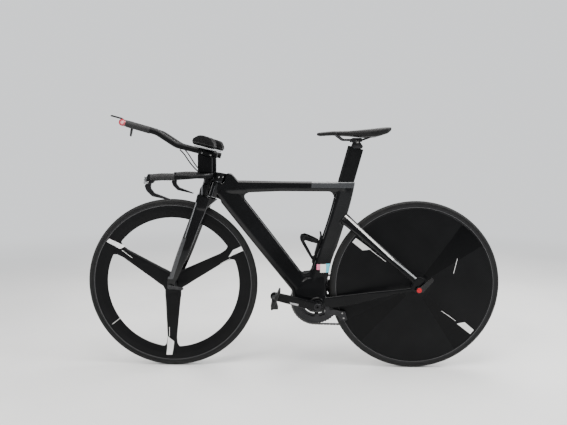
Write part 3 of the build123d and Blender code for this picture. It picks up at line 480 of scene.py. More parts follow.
metalLook = {
    "grain": 420,
    "grainDepth": 0.00003,
    "grainStrength": 0.4,
    "wear": 26,
    "wearRough": 0.08,
}


def metal(name, colour, dark, rough, metallic=1.0):
    finish = Finish(name, Metallic=metallic)
    grain = finish.noise(metalLook["grain"], 5, 0.6)
    wear = finish.noise(metalLook["wear"], 4, 0.6)
    worn = wear.ramp(0.4, 0.8) * metalLook["wearRough"]
    return finish.give(
        Base_Color=finish.blend(wear.ramp(0.35, 0.75), colour, dark),
        Roughness=grain.ramp(0.25, 0.8, rough - 0.06, rough + 0.1) + worn,
        Normal=finish.bump(grain, metalLook["grainDepth"], metalLook["grainStrength"]),
    )


mouldingLook = {
    "pebbleStrength": 0.6,
    "wear": 22,
    "wearRough": 0.08,
}


def moulding(name, colour, dark, rough, pebble=900, depth=0.00004, specular=0.26):
    # plastic, foam and skins with a fine pebble
    finish = Finish(name, Specular_IOR_Level=specular)
    grain = finish.noise(pebble)
    wear = finish.noise(mouldingLook["wear"], 4, 0.6)
    worn = wear.ramp(0.45, 0.8) * mouldingLook["wearRough"]
    return finish.give(
        Base_Color=finish.blend(wear.ramp(0.3, 0.75), colour, dark),
        Roughness=grain.ramp(0.3, 0.7, rough - 0.05, rough + 0.05) + worn,
        Normal=finish.bump(grain, depth, mouldingLook["pebbleStrength"]),
    )


knobLook = {
    "coat": 0.3,
    "coatRough": 0.15,
    "edge": 0.0003,
    # shares of the near colour's reach
    "core": (0.42, 0.6),
    "knurledFrom": 0.8,
    "knurls": 40,
    "grain": 700,
    "grainDepth": 0.0001,
    "grainStrength": 0.5,
    "rough": (0.26, 0.36),
}


def twoTone(name, centre, reach, near, far, metallic, core=None):
    # one colour out to a radius from an axle across the bike, another past it
    finish = Finish(
        name, Metallic=metallic, Coat_Weight=knobLook["coat"], Coat_Roughness=knobLook["coatRough"],
    )
    radius, turn = finish.around(centre)
    if core:
        start, end = (reach * share for share in knobLook["core"])
        near = finish.blend(radius.ramp(start, end, 1, 0), near, core)
    inside = radius.ramp(reach - knobLook["edge"], reach + knobLook["edge"], 1, 0)
    grain = finish.noise(knobLook["grain"])
    knurled = radius.between(reach * knobLook["knurledFrom"], reach)
    knurl = (turn * knobLook["knurls"]).sine().ramp(-0.3, 0.3) * knurled
    return finish.give(
        Base_Color=finish.blend(inside, far, finish.blend(grain.ramp(0.4, 0.8) * 0.3, near, far)),
        Roughness=grain.ramp(0.3, 0.7, *knobLook["rough"]),
        Normal=finish.bump(grain + knurl * 2, knobLook["grainDepth"], knobLook["grainStrength"]),
    )


tyreLook = {
    "specular": 0.2,
    # the tread starts between these depths below the tyre's outer radius
    "treadDepths": (0.0062, 0.0048),
    "wall": tone(0.006, 0.0064),
    "dustyWall": (0.012, 0.0117, 0.0114, 1),
    "tread": tone(0.0085, 0.0087),
    "dustyTread": (0.017, 0.0165, 0.016, 1),
    "dustScale": 40,
    "fileLines": 1400,
    "fileSlant": 900,
    "ridges": 3800,
    "ridgeShare": 0.4,
    "rough": 0.48,
    "depth": 0.0001,
    "strength": 0.7,
}


def tyreFinish(name, axle):
    # tread with fine file lines, ridged sidewalls, a little road dust
    finish = Finish(name, Specular_IOR_Level=tyreLook["specular"])
    radius, turn = finish.around(axle)
    x, y, z = finish.axes()
    tread = radius.ramp(*(wheelRadius - depth for depth in tyreLook["treadDepths"]))
    around, slant = tyreLook["fileLines"], tyreLook["fileSlant"]
    crossed = (turn * around + y * slant).sine() * (turn * around - y * slant).sine()
    dust = finish.noise(tyreLook["dustScale"], 5, 0.65).ramp(0.42, 0.8)
    wall = finish.blend(dust, tyreLook["wall"], tyreLook["dustyWall"])
    crown = finish.blend(dust, tyreLook["tread"], tyreLook["dustyTread"])
    ridge = ((radius - wheelRadius) * tyreLook["ridges"]).sine() * (1 - tread) * tyreLook["ridgeShare"]
    relief = crossed.ramp(-0.4, 0.5) * tread + ridge
    return finish.give(
        Base_Color=finish.blend(tread, wall, crown),
        Roughness=tread * 0.22 + dust * 0.1 + tyreLook["rough"],
        Normal=finish.bump(relief, tyreLook["depth"], tyreLook["strength"]),
    )


tapeLook = {
    "specular": 0.35,
    "slant": 0.25,
    "overlapShade": tone(0.004),
    "clean": tone(0.012, 0.0125),
    "worn": tone(0.022, 0.023),
    "wearScale": 60,
    "pockScale": 1500,
    "lift": 3,
    "rough": 0.62,
    "depth": 0.00025,
    "strength": 0.8,
}


def tapeFinish(name, start, pitch):
    # tape wound round a bar along the bike: overlapping turns with small pocks, and painted shade where each turn
    # starts at the edge of the last
    finish = Finish(name, Specular_IOR_Level=tapeLook["specular"])
    x, y, z = finish.axes()
    turn = ((start.x - x + y * tapeLook["slant"]) / pitch).fraction()
    pocks = finish.noise(tapeLook["pockScale"], 2).ramp(0.36, 0.5)
    wear = finish.noise(tapeLook["wearScale"], 4).ramp(0.4, 0.75)
    colour = finish.blend(wear, tapeLook["clean"], tapeLook["worn"])
    relief = turn.ramp(0, 1) * tapeLook["lift"] + pocks
    return finish.give(
        # painted shade: the start of each turn is darkened where it meets the step of the last
        Base_Color=finish.blend(turn.ramp(0.0, 0.12) * 0.5 + 0.5, tapeLook["overlapShade"], colour),
        Roughness=wear * 0.12 + tapeLook["rough"],
        Normal=finish.bump(relief, tapeLook["depth"], tapeLook["strength"]),
    )


# decal plates and lines, in millimetres behind and above each axle
frontDecals = {
    "plates": [
        [(-24, -217), (1, -238), (-7, -292), (-30, -292)],
        [(-258, 165), (-248, 177), (-186, 146), (-209, 136)],
        [(220, 107), (237, 135), (270, 151), (278, 134)],
    ],
    "lines": [
        [(-17, -178), (-17.5, -217)],
        [(-200, 131), (-160, 101)],
        [(226, 101), (188, 80)],
        [(-245, -168), (-209, -141)],
    ],
}
discDecals = {
    "plates": [
        [(-248, 172), (-235, 188), (-174, 144), (-208, 140)],
        [(173, -151), (203, -145), (242, -177), (229, -194)],
    ],
    "lines": [
        [(-176, 142), (-116, 96)],
        [(109, -99), (167, -139)],
        [(163, 111), (150, 52)],
    ],
}
rimLook = {
    # depths below the tyre's outer radius
    "track": (0.0245, 0.011),
    "trackPaint": tone(0.03, 0.031),
    "trackShare": 0.55,
    # painted highlight: a fine pale ring along the rim's edge, just inside the track
    "highlightWidth": 0.0012,
    "edgeHighlightPaint": tone(0.11, 0.113),
    "decalLine": 0.0016,
    "decalRough": 0.35,
}


def wheelMarks(axle, decals):
    # the brake track's paler ring with a painted highlight ring along its inner edge, then the decals
    inner, outer = (wheelRadius - depth for depth in rimLook["track"])
    highlightStart = inner - rimLook["highlightWidth"]

    def ring(low, high, share=1.0):
        return lambda finish: finish.around(axle)[0].between(low, high) * share

    def onWheel(corners):
        return [axle + Vector((behind / 1000, 0, rise / 1000)) for behind, rise in corners]

    marks = [
        (ring(inner, outer, rimLook["trackShare"]), rimLook["trackPaint"], 0.32),
        (ring(highlightStart, inner), rimLook["edgeHighlightPaint"], 0.3),
    ]
    for plate in map(onWheel, decals["plates"]):
        marks.append((lambda f, plate=plate: f.patch(plate), paint["white"], rimLook["decalRough"]))
    for ends in map(onWheel, decals["lines"]):
        stroke = (lambda f, ends=ends: f.line(*ends, rimLook["decalLine"]))
        marks.append((stroke, paint["white"], rimLook["decalRough"]))
    return marks


discWedges = {
    # middle and half width in degrees, from the hub out to the rim
    "wedges": ((43, 11), (-142, 10), (-48, 9)),
    "softness": 1,
    "hub": 0.05,
    "rim": 0.03,
}


def discGloss(finish):
    # three glossy wedges between satin ones
    radius, turn = finish.around(rearAxle)
    soft = discWedges["softness"]
    shine = None
    for middle, half in discWedges["wedges"]:
        reach = (turn - math.radians(middle)).wrap(math.pi, -math.pi)
        wedge = abs(reach).ramp(math.radians(half - soft), math.radians(half + soft), 1, 0)
        shine = wedge if shine is None else shine.most(wedge)
    return shine * radius.between(discWedges["hub"], wheelRadius - discWedges["rim"])


def plateMark(corners, colour, rough):
    outline = [spot(*corner) for corner in corners]
    return lambda finish: finish.patch(outline), colour, rough


def strokeMark(start, end, width, colour, rough):
    return lambda finish: finish.line(spot(*start), spot(*end), width), colour, rough


frameMarks = [
    plateMark([(541, 718), (545, 746), (712, 746), (712, 718)], paint["grey"], 0.3),
    # painted highlight: a pale strip along the top of the top tube's grey panel
    plateMark([(544, 738), (545, 746), (712, 746), (712, 738)], paint["paintedTopHighlight"], 0.3),
    strokeMark((676, 611), (858, 447), 0.007, paint["white"], 0.3),
    strokeMark((858, 447), (944, 378), 0.006, paint["silver"], 0.3),
    # painted highlights: two thin pale lines along edges near the head tube
    strokeMark((175.5, 754), (175.4, 737), 0.001, paint["seam"], 0.4),
    strokeMark((170, 721), (157, 680), 0.0012, paint["seam"], 0.4),
    # three plain colours at the foot of the seat tube
    plateMark([(567, 397), (567, 419), (581, 419), (581, 397)], paint["pink"], 0.35),
    plateMark([(581, 386), (581, 419), (604, 419), (604, 386)], paint["cream"], 0.35),
    plateMark([(604, 386), (604, 421), (620, 421), (620, 386)], paint["lightBlue"], 0.35),
]
forkMarks = [
    plateMark([(48, 522), (63, 522), (12, 364), (-14, 364)], (0.052, 0.053, 0.056, 1), 0.36),
    # painted highlight: a pale glint line along the blade's front edge, above the grey strip
    strokeMark((101, 660), (58, 524), 0.004, (0.16, 0.163, 0.17, 1), 0.2),
    # painted highlights: fine pale lines along the blade's rear edge
    strokeMark((143, 645), (114, 577), 0.0014, tone(0.1, 0.105), 0.3),
    strokeMark((114, 577), (41, 374), 0.0014, tone(0.1, 0.105), 0.3),
]
# painted reflections: two pale vertical streaks on the brake cover's glossy front
coverPaintedReflections = [
    plateMark([(104, 681), (104, 733), (111, 733), (111, 681)], (0.2, 0.205, 0.215, 1), 0.22),
    plateMark([(116, 681), (116, 733), (122, 733), (122, 681)], (0.13, 0.133, 0.14, 1), 0.22),
]
crankMarks = [plateMark([(463, 280.5), (496, 273), (494.5, 266), (464.5, 273.5)], paint["label"], 0.3)]
bracketMarks = [plateMark([(100, 880), (180, 862), (180, 855), (100, 872)], (0.42, 0.43, 0.44, 1), 0.3)]

tapeStart = spot(0, 760)
shifterKnob = spot(-169.4, 958.8)
finishes = {
    "carbon": carbon("glossCarbon", True),
    "frame": carbon("frameCarbon", True, frameMarks, thin=True),
    "fork": carbon("forkCarbon", True, forkMarks),
    "brakeCover": carbon("brakeCoverLacquer", True, coverPaintedReflections),
    "satin_carbon": carbon("satinCarbon", False),
    "frontWheel": carbon("frontWheelCarbon", False, wheelMarks(frontAxle, frontDecals)),
    "discWheel": carbon("discCarbon", False, wheelMarks(rearAxle, discDecals), discGloss),
    "crank": carbon("crankCarbon", True, crankMarks, thin=True),
    "padBracket": carbon("padBracketAlloy", False, bracketMarks),
    "alloy": metal("brushedAlloy", (0.62, 0.63, 0.64, 1), (0.5, 0.51, 0.52, 1), 0.3),
    "black_alloy": metal("blackAlloy", tone(0.018, 0.0195), tone(0.03, 0.032), 0.3, metallic=0.8),
    "steel": metal("steel", tone(0.5, 0.49), (0.34, 0.335, 0.32, 1), 0.28),
    "red_metal": metal("redAnodised", (0.5, 0.012, 0.02, 1), (0.36, 0.008, 0.014, 1), 0.28, metallic=0.9),
    "axleMetal": metal("axleMetal", tone(0.05, 0.052), tone(0.028, 0.029), 0.26),
    "chainSteel": metal("chainSteel", tone(0.05, 0.052), (0.11, 0.108, 0.1, 1), 0.32),
    "black_plastic": moulding("blackPlastic", tone(0.008, 0.0084), tone(0.014, 0.0145), 0.42),
    "cable_skin": moulding("cableSkin", tone(0.011), tone(0.018), 0.36),
    "extensionTape": moulding(
        "extensionTape", tone(0.013, 0.0135), tone(0.021, 0.022), 0.62, pebble=1500, depth=0.00015,
    ),
    "saddle_skin": moulding(
        "saddleSkin", tone(0.008, 0.0084), tone(0.012, 0.0126), 0.46,
        pebble=1300, depth=0.00003, specular=0.16,
    ),
    "pad_foam": moulding(
        "padCover", tone(0.007, 0.0074), tone(0.012, 0.0125), 0.66,
        pebble=1700, depth=0.00012, specular=0.1,
    ),
    "piping": moulding("padPiping", tone(0.03, 0.031), tone(0.05, 0.051), 0.4),
    "frontTyre": tyreFinish("frontTyreRubber", frontAxle),
    "rearTyre": tyreFinish("rearTyreRubber", rearAxle),
    "grip_tape": tapeFinish("gripTape", tapeStart, 0.021),
    "barTape": tapeFinish("barTape", tapeStart, 0.0095),
    "shifter": twoTone(
        "shifterKnob", shifterKnob, 0.0128, (0.42, 0.035, 0.055, 1), tone(0.01, 0.0105), 0.0,
        core=(0.74, 0.36, 0.38, 1),
    ),
    "rearNut": twoTone("rearNutRed", rearAxle, 0.0094, (0.5, 0.01, 0.018, 1), tone(0.012, 0.0125), 0.85),
}

# every node's finish is its record slot's, but for these
frameNodes = ("main_frame", "seatstay_left", "seatstay_right", "chainstay_left", "chainstay_right")
special = {
    **dict.fromkeys(frameNodes, "frame"),
    "tri_spoke_wheel": "frontWheel",
    "disc_wheel": "discWheel",
    "front_tyre": "frontTyre",
    "rear_tyre": "rearTyre",
    "shifter_left": "shifter",
    "shifter_right": "shifter",
    "rear_nut_lever": "rearNut",
    "chain": "chainSteel",
    "pad_brackets": "padBracket",
    "front_axle": "axleMetal",
}
slotOf = {row["node"]: row["material_slot"] for row in frame["record"]["subparts"]}
for name, node in nodes.items():
    node.data.materials.clear()
    node.data.materials.append(finishes[special.get(name, slotOf[name])])
print("finishes ready")

# Carbon skins
moulds = {
    # piece: nodes, body, finish, voxel in millimetres, rounds of smoothing
    "frameSkin": (frameNodes, "frame", "frame", 2.45, 6),
    "forkSkin": (("fork",), "front_end", "fork", 1.8, 5),
    "fairingSkin": (("fork_fairing",), "front_end", "carbon", 1.5, 4),
    "brakeCoverSkin": (("brake_cover",), "front_end", "brakeCover", 1.2, 4),
    "triSpokeSkin": (("tri_spoke_wheel",), "front_wheel", "frontWheel", 2.45, 4),
    "baseBarSkin": (("base_bar",), "front_end", "satin_carbon", 1.5, 8),
    "riserSkin": (("risers",), "front_end", "satin_carbon", 1.4, 4),
    "brakeLeverLeftSkin": (("brake_lever_left",), "front_end", "black_alloy", 0.8, 4),
    "brakeLeverRightSkin": (("brake_lever_right",), "front_end", "black_alloy", 0.8, 4),
    "crankRightSkin": (("crank_arm_right",), "crankset", "crank", 1.2, 3),
    "saddleSkin": (("saddle",), "frame", "saddle_skin", 2.2, 10),
    "seatpostSkin": (("seatpost",), "frame", "satin_carbon", 1.5, 6),
    "seatClampSkin": (("seatpost_clamp",), "frame", "black_alloy", 0.9, 2),
    "bottleCageSkin": (("bottle_cage",), "frame", "satin_carbon", 1.1, 3),
    "rearBrakeSkin": (("rear_brake",), "frame", "black_alloy", 1.1, 3),
}


def moulded(name, names, voxel, rounds):
    # copies of CAD nodes melted into one skin with blended corners, like laid-up carbon
    piece = pieceFrom(name, welded(*names))
    remesh = piece.modifiers.new("melt", "REMESH")
    remesh.mode = "VOXEL"
    remesh.voxel_size = voxel / 1000
    smooth = piece.modifiers.new("blend", "SMOOTH")
    smooth.factor = 0.5
    smooth.iterations = rounds
    shaped(piece)
    return smoothed(piece)


for name, (names, body, finish, voxel, rounds) in moulds.items():
    skin = moulded(name, names, voxel, rounds)
    fitted(skin, body, slotOf[names[0]], finishes[finish], *names)
print("skins ready")

# Tyres: a round section spun about the axle
tyres = {"sides": 28, "steps": 180}


def makeTyre(name, axle, node, body, finish):
    low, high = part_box(node)
    half = (high.y - low.y) / 2
    centre = (high.z - low.z) / 2 - half
    mesh = bmesh.new()
    ring = bmesh.ops.create_circle(mesh, segments=tyres["sides"], radius=half)["verts"]
    turn = Matrix.Translation(axle + Vector((0, 0, centre))) @ Matrix.Rotation(math.pi / 2, 4, "Y")
    bmesh.ops.transform(mesh, matrix=turn, verts=ring)
    bmesh.ops.spin(
        mesh, geom=mesh.verts[:] + mesh.edges[:], cent=axle, axis=(0, 1, 0),
        steps=tyres["steps"], angle=2 * math.pi, use_merge=True,
    )
    bmesh.ops.recalc_face_normals(mesh, faces=mesh.faces)
    fitted(smoothed(pieceFrom(name, mesh)), body, "tyre_rubber", finishes[finish], node)


makeTyre("frontTyre", frontAxle, "front_tyre", "front_wheel", "frontTyre")
makeTyre("rearTyre", rearAxle, "rear_tyre", "rear_wheel", "rearTyre")
print("tyres ready")

# Gear cables: the routes of the part, in metres, each one smooth spline
cables = {
    "diameter": 0.005,
    "roundness": 5,
    "smoothness": 16,
    # the rider's left side; the right side is its mirror image
    "route": [
        (-0.70215, -0.05, -0.08422),
        (-0.68949, -0.0445, -0.09703),
        (-0.67149, -0.041, -0.12603),
        (-0.65249, -0.0365, -0.15203),
        (-0.63149, -0.033, -0.17203),
    ],
}


def makeCable(name, node, side):
    route = [Vector((x, -side * y, z)) for x, y, z in cables["route"]]
    cable = curveThrough(name, route, cables["diameter"] / 2, "NURBS", cables["roundness"])
    cable.data.resolution_u = cables["smoothness"]
    cable.data.use_fill_caps = True
    spline = cable.data.splines[0]
    spline.order_u = 3
    spline.use_endpoint_u = True
    cable.data.materials.append(finishes["cable_skin"])
    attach(cable, "front_end")
    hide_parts(node)


makeCable("shiftCableLeft", "shift_cable_left", -1)
makeCable("shiftCableRight", "shift_cable_right", 1)
print("cables ready")

# Arm pads: foam under a stretch cover, puffed by a cloth simulation
pads = {
    "voxel": 4.5,
    "shrink": 1.6,
    "pressure": 4.0,
    "quality": 5,
    "frames": 20,
    # no point moves further than this many millimetres
    "cap": 5.0,
    "rounds": 6,
    "fill": 0.7,
}
piping = {
    # how far the seam's plane rises backwards, and where it lies above the pad's middle
    "slope": 0.24,
    "rise": -5.0,
    "radius": 1.1,
    "roundness": 3,
    "places": 70,
}


def puffed(name, node):
    piece = pieceFrom(name, welded(node))
    remesh = piece.modifiers.new("even", "REMESH")
    remesh.mode = "VOXEL"
    remesh.voxel_size = pads["voxel"] / 1000
    shrink = piece.modifiers.new("shrink", "DISPLACE")
    shrink.strength = -pads["shrink"] / 1000
    shrink.mid_level = 0
    shaped(piece)
    start = [vertex.co.copy() for vertex in piece.data.vertices]
    cloth = piece.modifiers.new("cloth", "CLOTH")
    cloth.settings.use_pressure = True
    cloth.settings.uniform_pressure_force = pads["pressure"]
    cloth.settings.effector_weights.gravity = 0
    cloth.settings.quality = pads["quality"]
    scene = bpy.context.scene
    for number in range(1, pads["frames"] + 1):
        scene.frame_set(number)
    shaped(piece)
    scene.frame_set(1)
    # keeps the swell small, and the side view's outline inside the node's own box
    cap = pads["cap"] / 1000
    low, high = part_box(node)
    for vertex, rest in zip(piece.data.vertices, start):
        move = vertex.co - rest
        if move.length > cap:
            vertex.co = rest + move * (cap / move.length)
        vertex.co.x = min(max(vertex.co.x, low.x), high.x)
        vertex.co.z = min(max(vertex.co.z, low.z), high.z)
    ease = piece.modifiers.new("ease", "SMOOTH")
    ease.factor = 0.5
    ease.iterations = pads["rounds"]
    refine = piece.modifiers.new("refine", "SUBSURF")
    refine.levels = refine.render_levels = 1
    shaped(piece)
    fitted(smoothed(piece), "front_end", "pad_foam", finishes["pad_foam"], node)
    makePiping(name + "Piping", piece, node)


def makePiping(name, pad, node):
    # a cord sewn into the cover's seam, where a plane along the pad cuts it
    low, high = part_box(node)
    upward = Vector((piping["slope"], 0, 1)).normalized()
    middle = (low + high) / 2 + upward * piping["rise"] / 1000
    mesh = bmesh.new()
    mesh.from_mesh(pad.data)
    bmesh.ops.bisect_plane(
        mesh, geom=mesh.verts[:] + mesh.edges[:] + mesh.faces[:], plane_co=middle, plane_no=upward,
        clear_inner=True, clear_outer=True,
    )
    here = next(iter(mesh.verts))
    seam, seen = [], set()
    while here is not None:
        seen.add(here)
        seam.append(here.co.copy())
        beside = [edge.other_vert(here) for edge in here.link_edges]
        here = next((vert for vert in beside if vert not in seen), None)
    mesh.free()
    places = seam[::max(1, len(seam) // piping["places"])]
    tube = curveThrough(name, places, piping["radius"] / 1000, "POLY", piping["roundness"])
    tube.data.splines[0].use_cyclic_u = True
    data = evaluated(tube)
    bpy.data.objects.remove(tube)
    fitted(smoothed(placed(name, data)), "front_end", "pad_foam", finishes["piping"])


puffed("armPadLeft", "arm_pad_left")
puffed("armPadRight", "arm_pad_right")
print("arm pads ready")


def alongPath(corners, count, bend=0.3):
    # evenly spread places on a line through the corners, then smoothed
    spread = []
    lengths = [(b - a).length for a, b in zip(corners, corners[1:])]
    total = sum(lengths)
    for step in range(count):
        reach = total * step / (count - 1)
        for start, end, length in zip(corners, corners[1:], lengths):
            if reach <= length or end is corners[-1]:
                spread.append(start.lerp(end, min(reach / length, 1)))
                break
            reach -= length
    for number in range(int(count * bend)):
        inner = [(a + b * 2 + c) / 4 for a, b, c in zip(spread, spread[1:], spread[2:])]
        spread = [spread[0], *inner, spread[-1]]
    return spread


# Wound grips: turns of tape that overlap along the bar
grips = {
    "rings": 96,
    "sides": 28,
    # a fortieth of the length rounds off each end
    "ends": 40,
    "endDrop": 0.8,
    "bar": {
        "corners": [(56.5, 761), (10.6, 761), (-27.2, 757.4)],
        "side": 200, "radius": 13.1, "turns": 9, "lap": 0.9,
    },
    "extension": {
        "corners": [(-67.1, 930.3), (-156, 955)],
        "side": 50, "radius": 13.0, "turns": 0, "lap": 0,
    },
}


def makeGrip(name, side, facts, finish):
    corners = [spot(behind, height, side * facts["side"]) for behind, height in facts["corners"]]
    places = alongPath(corners, grips["rings"])
    rings = []
    for index, centre in enumerate(places):
        share = index / (len(places) - 1)
        lap = (share * facts["turns"]) % 1 * facts["lap"]
        drop = max(0, 1 - min(share, 1 - share) * grips["ends"]) * grips["endDrop"]
        radius = (facts["radius"] - facts["lap"] + lap - drop) / 1000
        before, after = places[max(index - 1, 0)], places[min(index + 1, len(places) - 1)]
        turn = (after - before).to_track_quat("Z", "Y").to_matrix().to_4x4()
        rings.append((Matrix.Translation(centre) @ turn, radius, grips["sides"]))
    mesh = bmesh.new()
    ringed(mesh, rings)
    bmesh.ops.recalc_face_normals(mesh, faces=mesh.faces)
    return fitted(smoothed(pieceFrom(name, mesh), 50), "front_end", "grip_tape", finishes[finish])


for side, hand in hands:
    makeGrip("barGrip" + hand, side, grips["bar"], "barTape")
    makeGrip("extensionGrip" + hand, side, grips["extension"], "extensionTape")
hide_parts("bar_grips")
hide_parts("extension_grips")
print("grips ready")

# Chain: plates and rollers, link by link round the four wheels
chain = {
    "side": 43.5,
    "pitch": 12.7,
    "plateHeight": 8.4,
    "plateThick": 1.0,
    "plateSides": 12,
    "waist": 0.68,
    "innerWidth": 3.5,
    "outerWidth": 4.8,
    "rollerRadius": 3.8,
    "rollerInset": 1.2,
    "pinRadius": 1.7,
    "pinProud": 1.9,
    "barrelSides": 10,
    "arcSteps": 48,
    # chainring, sprocket, upper and lower jockey wheel: behind, height, teeth, sense of the turn
    "wheels": [(*crankAxis, 50, 1), (953.99, 335, 15, 1), (957.99, 252, 11, -1), (929.99, 178, 11, 1)],
}


def chainPath():
    # straight runs and arcs round the wheels, as closely spaced places in millimetres
    rounds = []
    for behind, height, teeth, sense in chain["wheels"]:
        pitchRadius = chain["pitch"] / (2 * math.sin(math.pi / teeth))
        rounds.append((Vector((behind, height)), pitchRadius, sense))
    spans = []
    for (c1, r1, s1), (c2, r2, s2) in zip(rounds, rounds[1:] + rounds[:1]):
        gap = c2 - c1
        lean = math.atan2(gap.y, gap.x) + math.pi / 2 - math.asin((s1 * r1 - s2 * r2) / gap.length)
        out = Vector((math.cos(lean), math.sin(lean)))
        spans.append((c1 + out * r1 * s1, c2 + out * r2 * s2))
    path = []
    for index, (leave, meet) in enumerate(spans):
        centre, radius, sense = rounds[(index + 1) % len(rounds)]
        after = spans[(index + 1) % len(rounds)][0]
        start, end = (math.atan2((p - centre).y, (p - centre).x) for p in (meet, after))
        wrapped = (start - end) * sense % (2 * math.pi)
        path.append(leave)
        for step in range(chain["arcSteps"]):
            angle = start - sense * wrapped * step / chain["arcSteps"]
            path.append(centre + Vector((math.cos(angle), math.sin(angle))) * radius)
    return path + path[:1]


def linkMesh(width):
    # two waisted plates, with the roller and its pin at the front end
    pitch, thick = chain["pitch"] / 1000, chain["plateThick"] / 1000
    sides = chain["plateSides"]
    mesh = bmesh.new()
    for side in (-1, 1):
        plate = bmesh.new()
        half = chain["plateHeight"] / 2000
        outline = bmesh.ops.create_circle(plate, cap_ends=True, segments=sides, radius=half)["verts"]
        bmesh.ops.rotate(plate, matrix=Matrix.Rotation(math.pi / sides, 3, "Z"), verts=outline)
        bmesh.ops.translate(plate, vec=(pitch, 0, 0), verts=[v for v in outline if v.co.x > 0])
        runs = [edge for edge in plate.edges if edge.calc_length() > pitch]
        bmesh.ops.subdivide_edges(plate, edges=runs, cuts=1)
        waist = [v for v in plate.verts if abs(v.co.x - pitch / 2) < 0.001]
        bmesh.ops.scale(plate, vec=(1, chain["waist"], 1), verts=waist)
        up = bmesh.ops.extrude_face_region(plate, geom=plate.faces[:])["geom"]
        tops = [item for item in up if isinstance(item, bmesh.types.BMVert)]
        bmesh.ops.translate(plate, vec=(0, 0, thick), verts=tops)
        place = Matrix.Translation((0, 0, side * width / 2000 - thick / 2))
        bmesh.ops.transform(plate, matrix=place, verts=plate.verts)
        bmesh.ops.recalc_face_normals(plate, faces=plate.faces)
        addPart(mesh, plate)
    roller = chain["rollerRadius"], width - chain["rollerInset"]
    pin = chain["pinRadius"], width + chain["pinProud"]
    for radius, length in (roller, pin):
        bmesh.ops.create_cone(
            mesh, cap_ends=True, segments=chain["barrelSides"], radius1=radius / 1000, radius2=radius / 1000,
            depth=length / 1000, matrix=Matrix.Identity(4),
        )
    data = bpy.data.meshes.new("link")
    mesh.to_mesh(data)
    mesh.free()
    return data


def makeChain():
    path = chainPath()
    total = sum((b - a).length for a, b in zip(path, path[1:]))
    count = 2 * round(total / chain["pitch"] / 2)
    spread = alongPath(path, count + 1, 0)
    links = [linkMesh(chain["innerWidth"]), linkMesh(chain["outerWidth"])]
    mesh = bmesh.new()
    across = Vector((0, 1, 0))
    for index, (here, after) in enumerate(zip(spread, spread[1:])):
        run = (after - here).normalized()
        ahead = Vector((run.x, 0, run.y))
        turn = Matrix((ahead, across.cross(ahead), across)).transposed().to_4x4()
        place = Matrix.Translation(spot(here.x, here.y, chain["side"]))
        start = len(mesh.verts)
        mesh.from_mesh(links[index % 2])
        mesh.verts.ensure_lookup_table()
        bmesh.ops.transform(mesh, matrix=place @ turn, verts=mesh.verts[start:])
    for link in links:
        bpy.data.meshes.remove(link)
    fitted(smoothed(pieceFrom("rollerChain", mesh), 35), "frame", "steel", finishes["chainSteel"], "chain")


makeChain()
print("chain ready")

# Bevelled forms: each is pulled tight round discs across the bike
bevelled = {
    "discSides": 24,
    "flatDegrees": 1,
    "rimDegrees": 50,
    "rimSegments": 3,
    "sharpDegrees": 40,
    # millimetres
    "rounding": {"crankBlade": 2.6, "postHead": 2.0, "leverPlate": 1.0, "pedal": 1.6},
}


def stretched(mesh, ends, kind):
    # ends: behind, height, radius, inner and outer side of each disc
    part = bmesh.new()
    sides = bevelled["discSides"]
    for behind, height, radius, inner, outer in ends:
        for side in (inner, outer):
            disc = bmesh.ops.create_circle(part, segments=sides, radius=radius / 1000)["verts"]
            turn = Matrix.Translation(spot(behind, height, side)) @ Matrix.Rotation(math.pi / 2, 4, "X")
            bmesh.ops.transform(part, matrix=turn, verts=disc)
    hull = bmesh.ops.convex_hull(part, input=part.verts)
    inside = hull["geom_interior"] + hull["geom_unused"]
    loose = {item for item in inside if isinstance(item, bmesh.types.BMVert)}
    bmesh.ops.delete(part, geom=list(loose), context="VERTS")
    flat, rim = (math.radians(bevelled[key]) for key in ("flatDegrees", "rimDegrees"))
    bmesh.ops.dissolve_limit(part, angle_limit=flat, verts=part.verts, edges=part.edges)
    rims = [edge for edge in part.edges if len(edge.link_faces) == 2 and edge.calc_face_angle() > rim]
    rounding = bevelled["rounding"][kind] / 1000
    bmesh.ops.bevel(
        part, geom=rims, offset=rounding, segments=bevelled["rimSegments"],
        profile=0.5, affect="EDGES", material=-1,
    )
    bmesh.ops.recalc_face_normals(part, faces=part.faces)
    addPart(mesh, part)


def makeForm(name, body, slot, finish, kind, forms, *replaced):
    mesh = bmesh.new()
    for ends in forms:
        stretched(mesh, ends, kind)
    piece = smoothed(pieceFrom(name, mesh), bevelled["sharpDegrees"])
    fitted(piece, body, slot, finishes[finish], *replaced)


# left crank arm, from the axle's boss to the pedal's
crankBlade = [(*crankAxis, 17.6, -47.3, -63.8), (*leftPedalAxis, 15.6, -60.2, -73.4)]
makeForm(
    "crankBladeLeft", "crankset", slotOf["crank_arm_left"], "crank",
    "crankBlade", [crankBlade], "crank_arm_left",
)

# the seatpost's head, which carries the rail clamp
postHead = [(705, 880, 9, -13, 13), (730, 878, 8, -12, 12), (714, 893, 11, -15, 15)]
makeForm("postHead", "frame", "black_alloy", "black_alloy", "postHead", [postHead])

# bright end plates of the brake levers' hoods
leverPlate = [(-45.5, 760, 2.6, 193, 210), (-48, 738, 2.4, 193, 210)]
for side, hand in hands:
    ends = [(*disc, side * inner, side * outer) for *disc, inner, outer in leverPlate]
    makeForm("leverPlate" + hand, "front_end", "alloy", "alloy", "leverPlate", [ends])

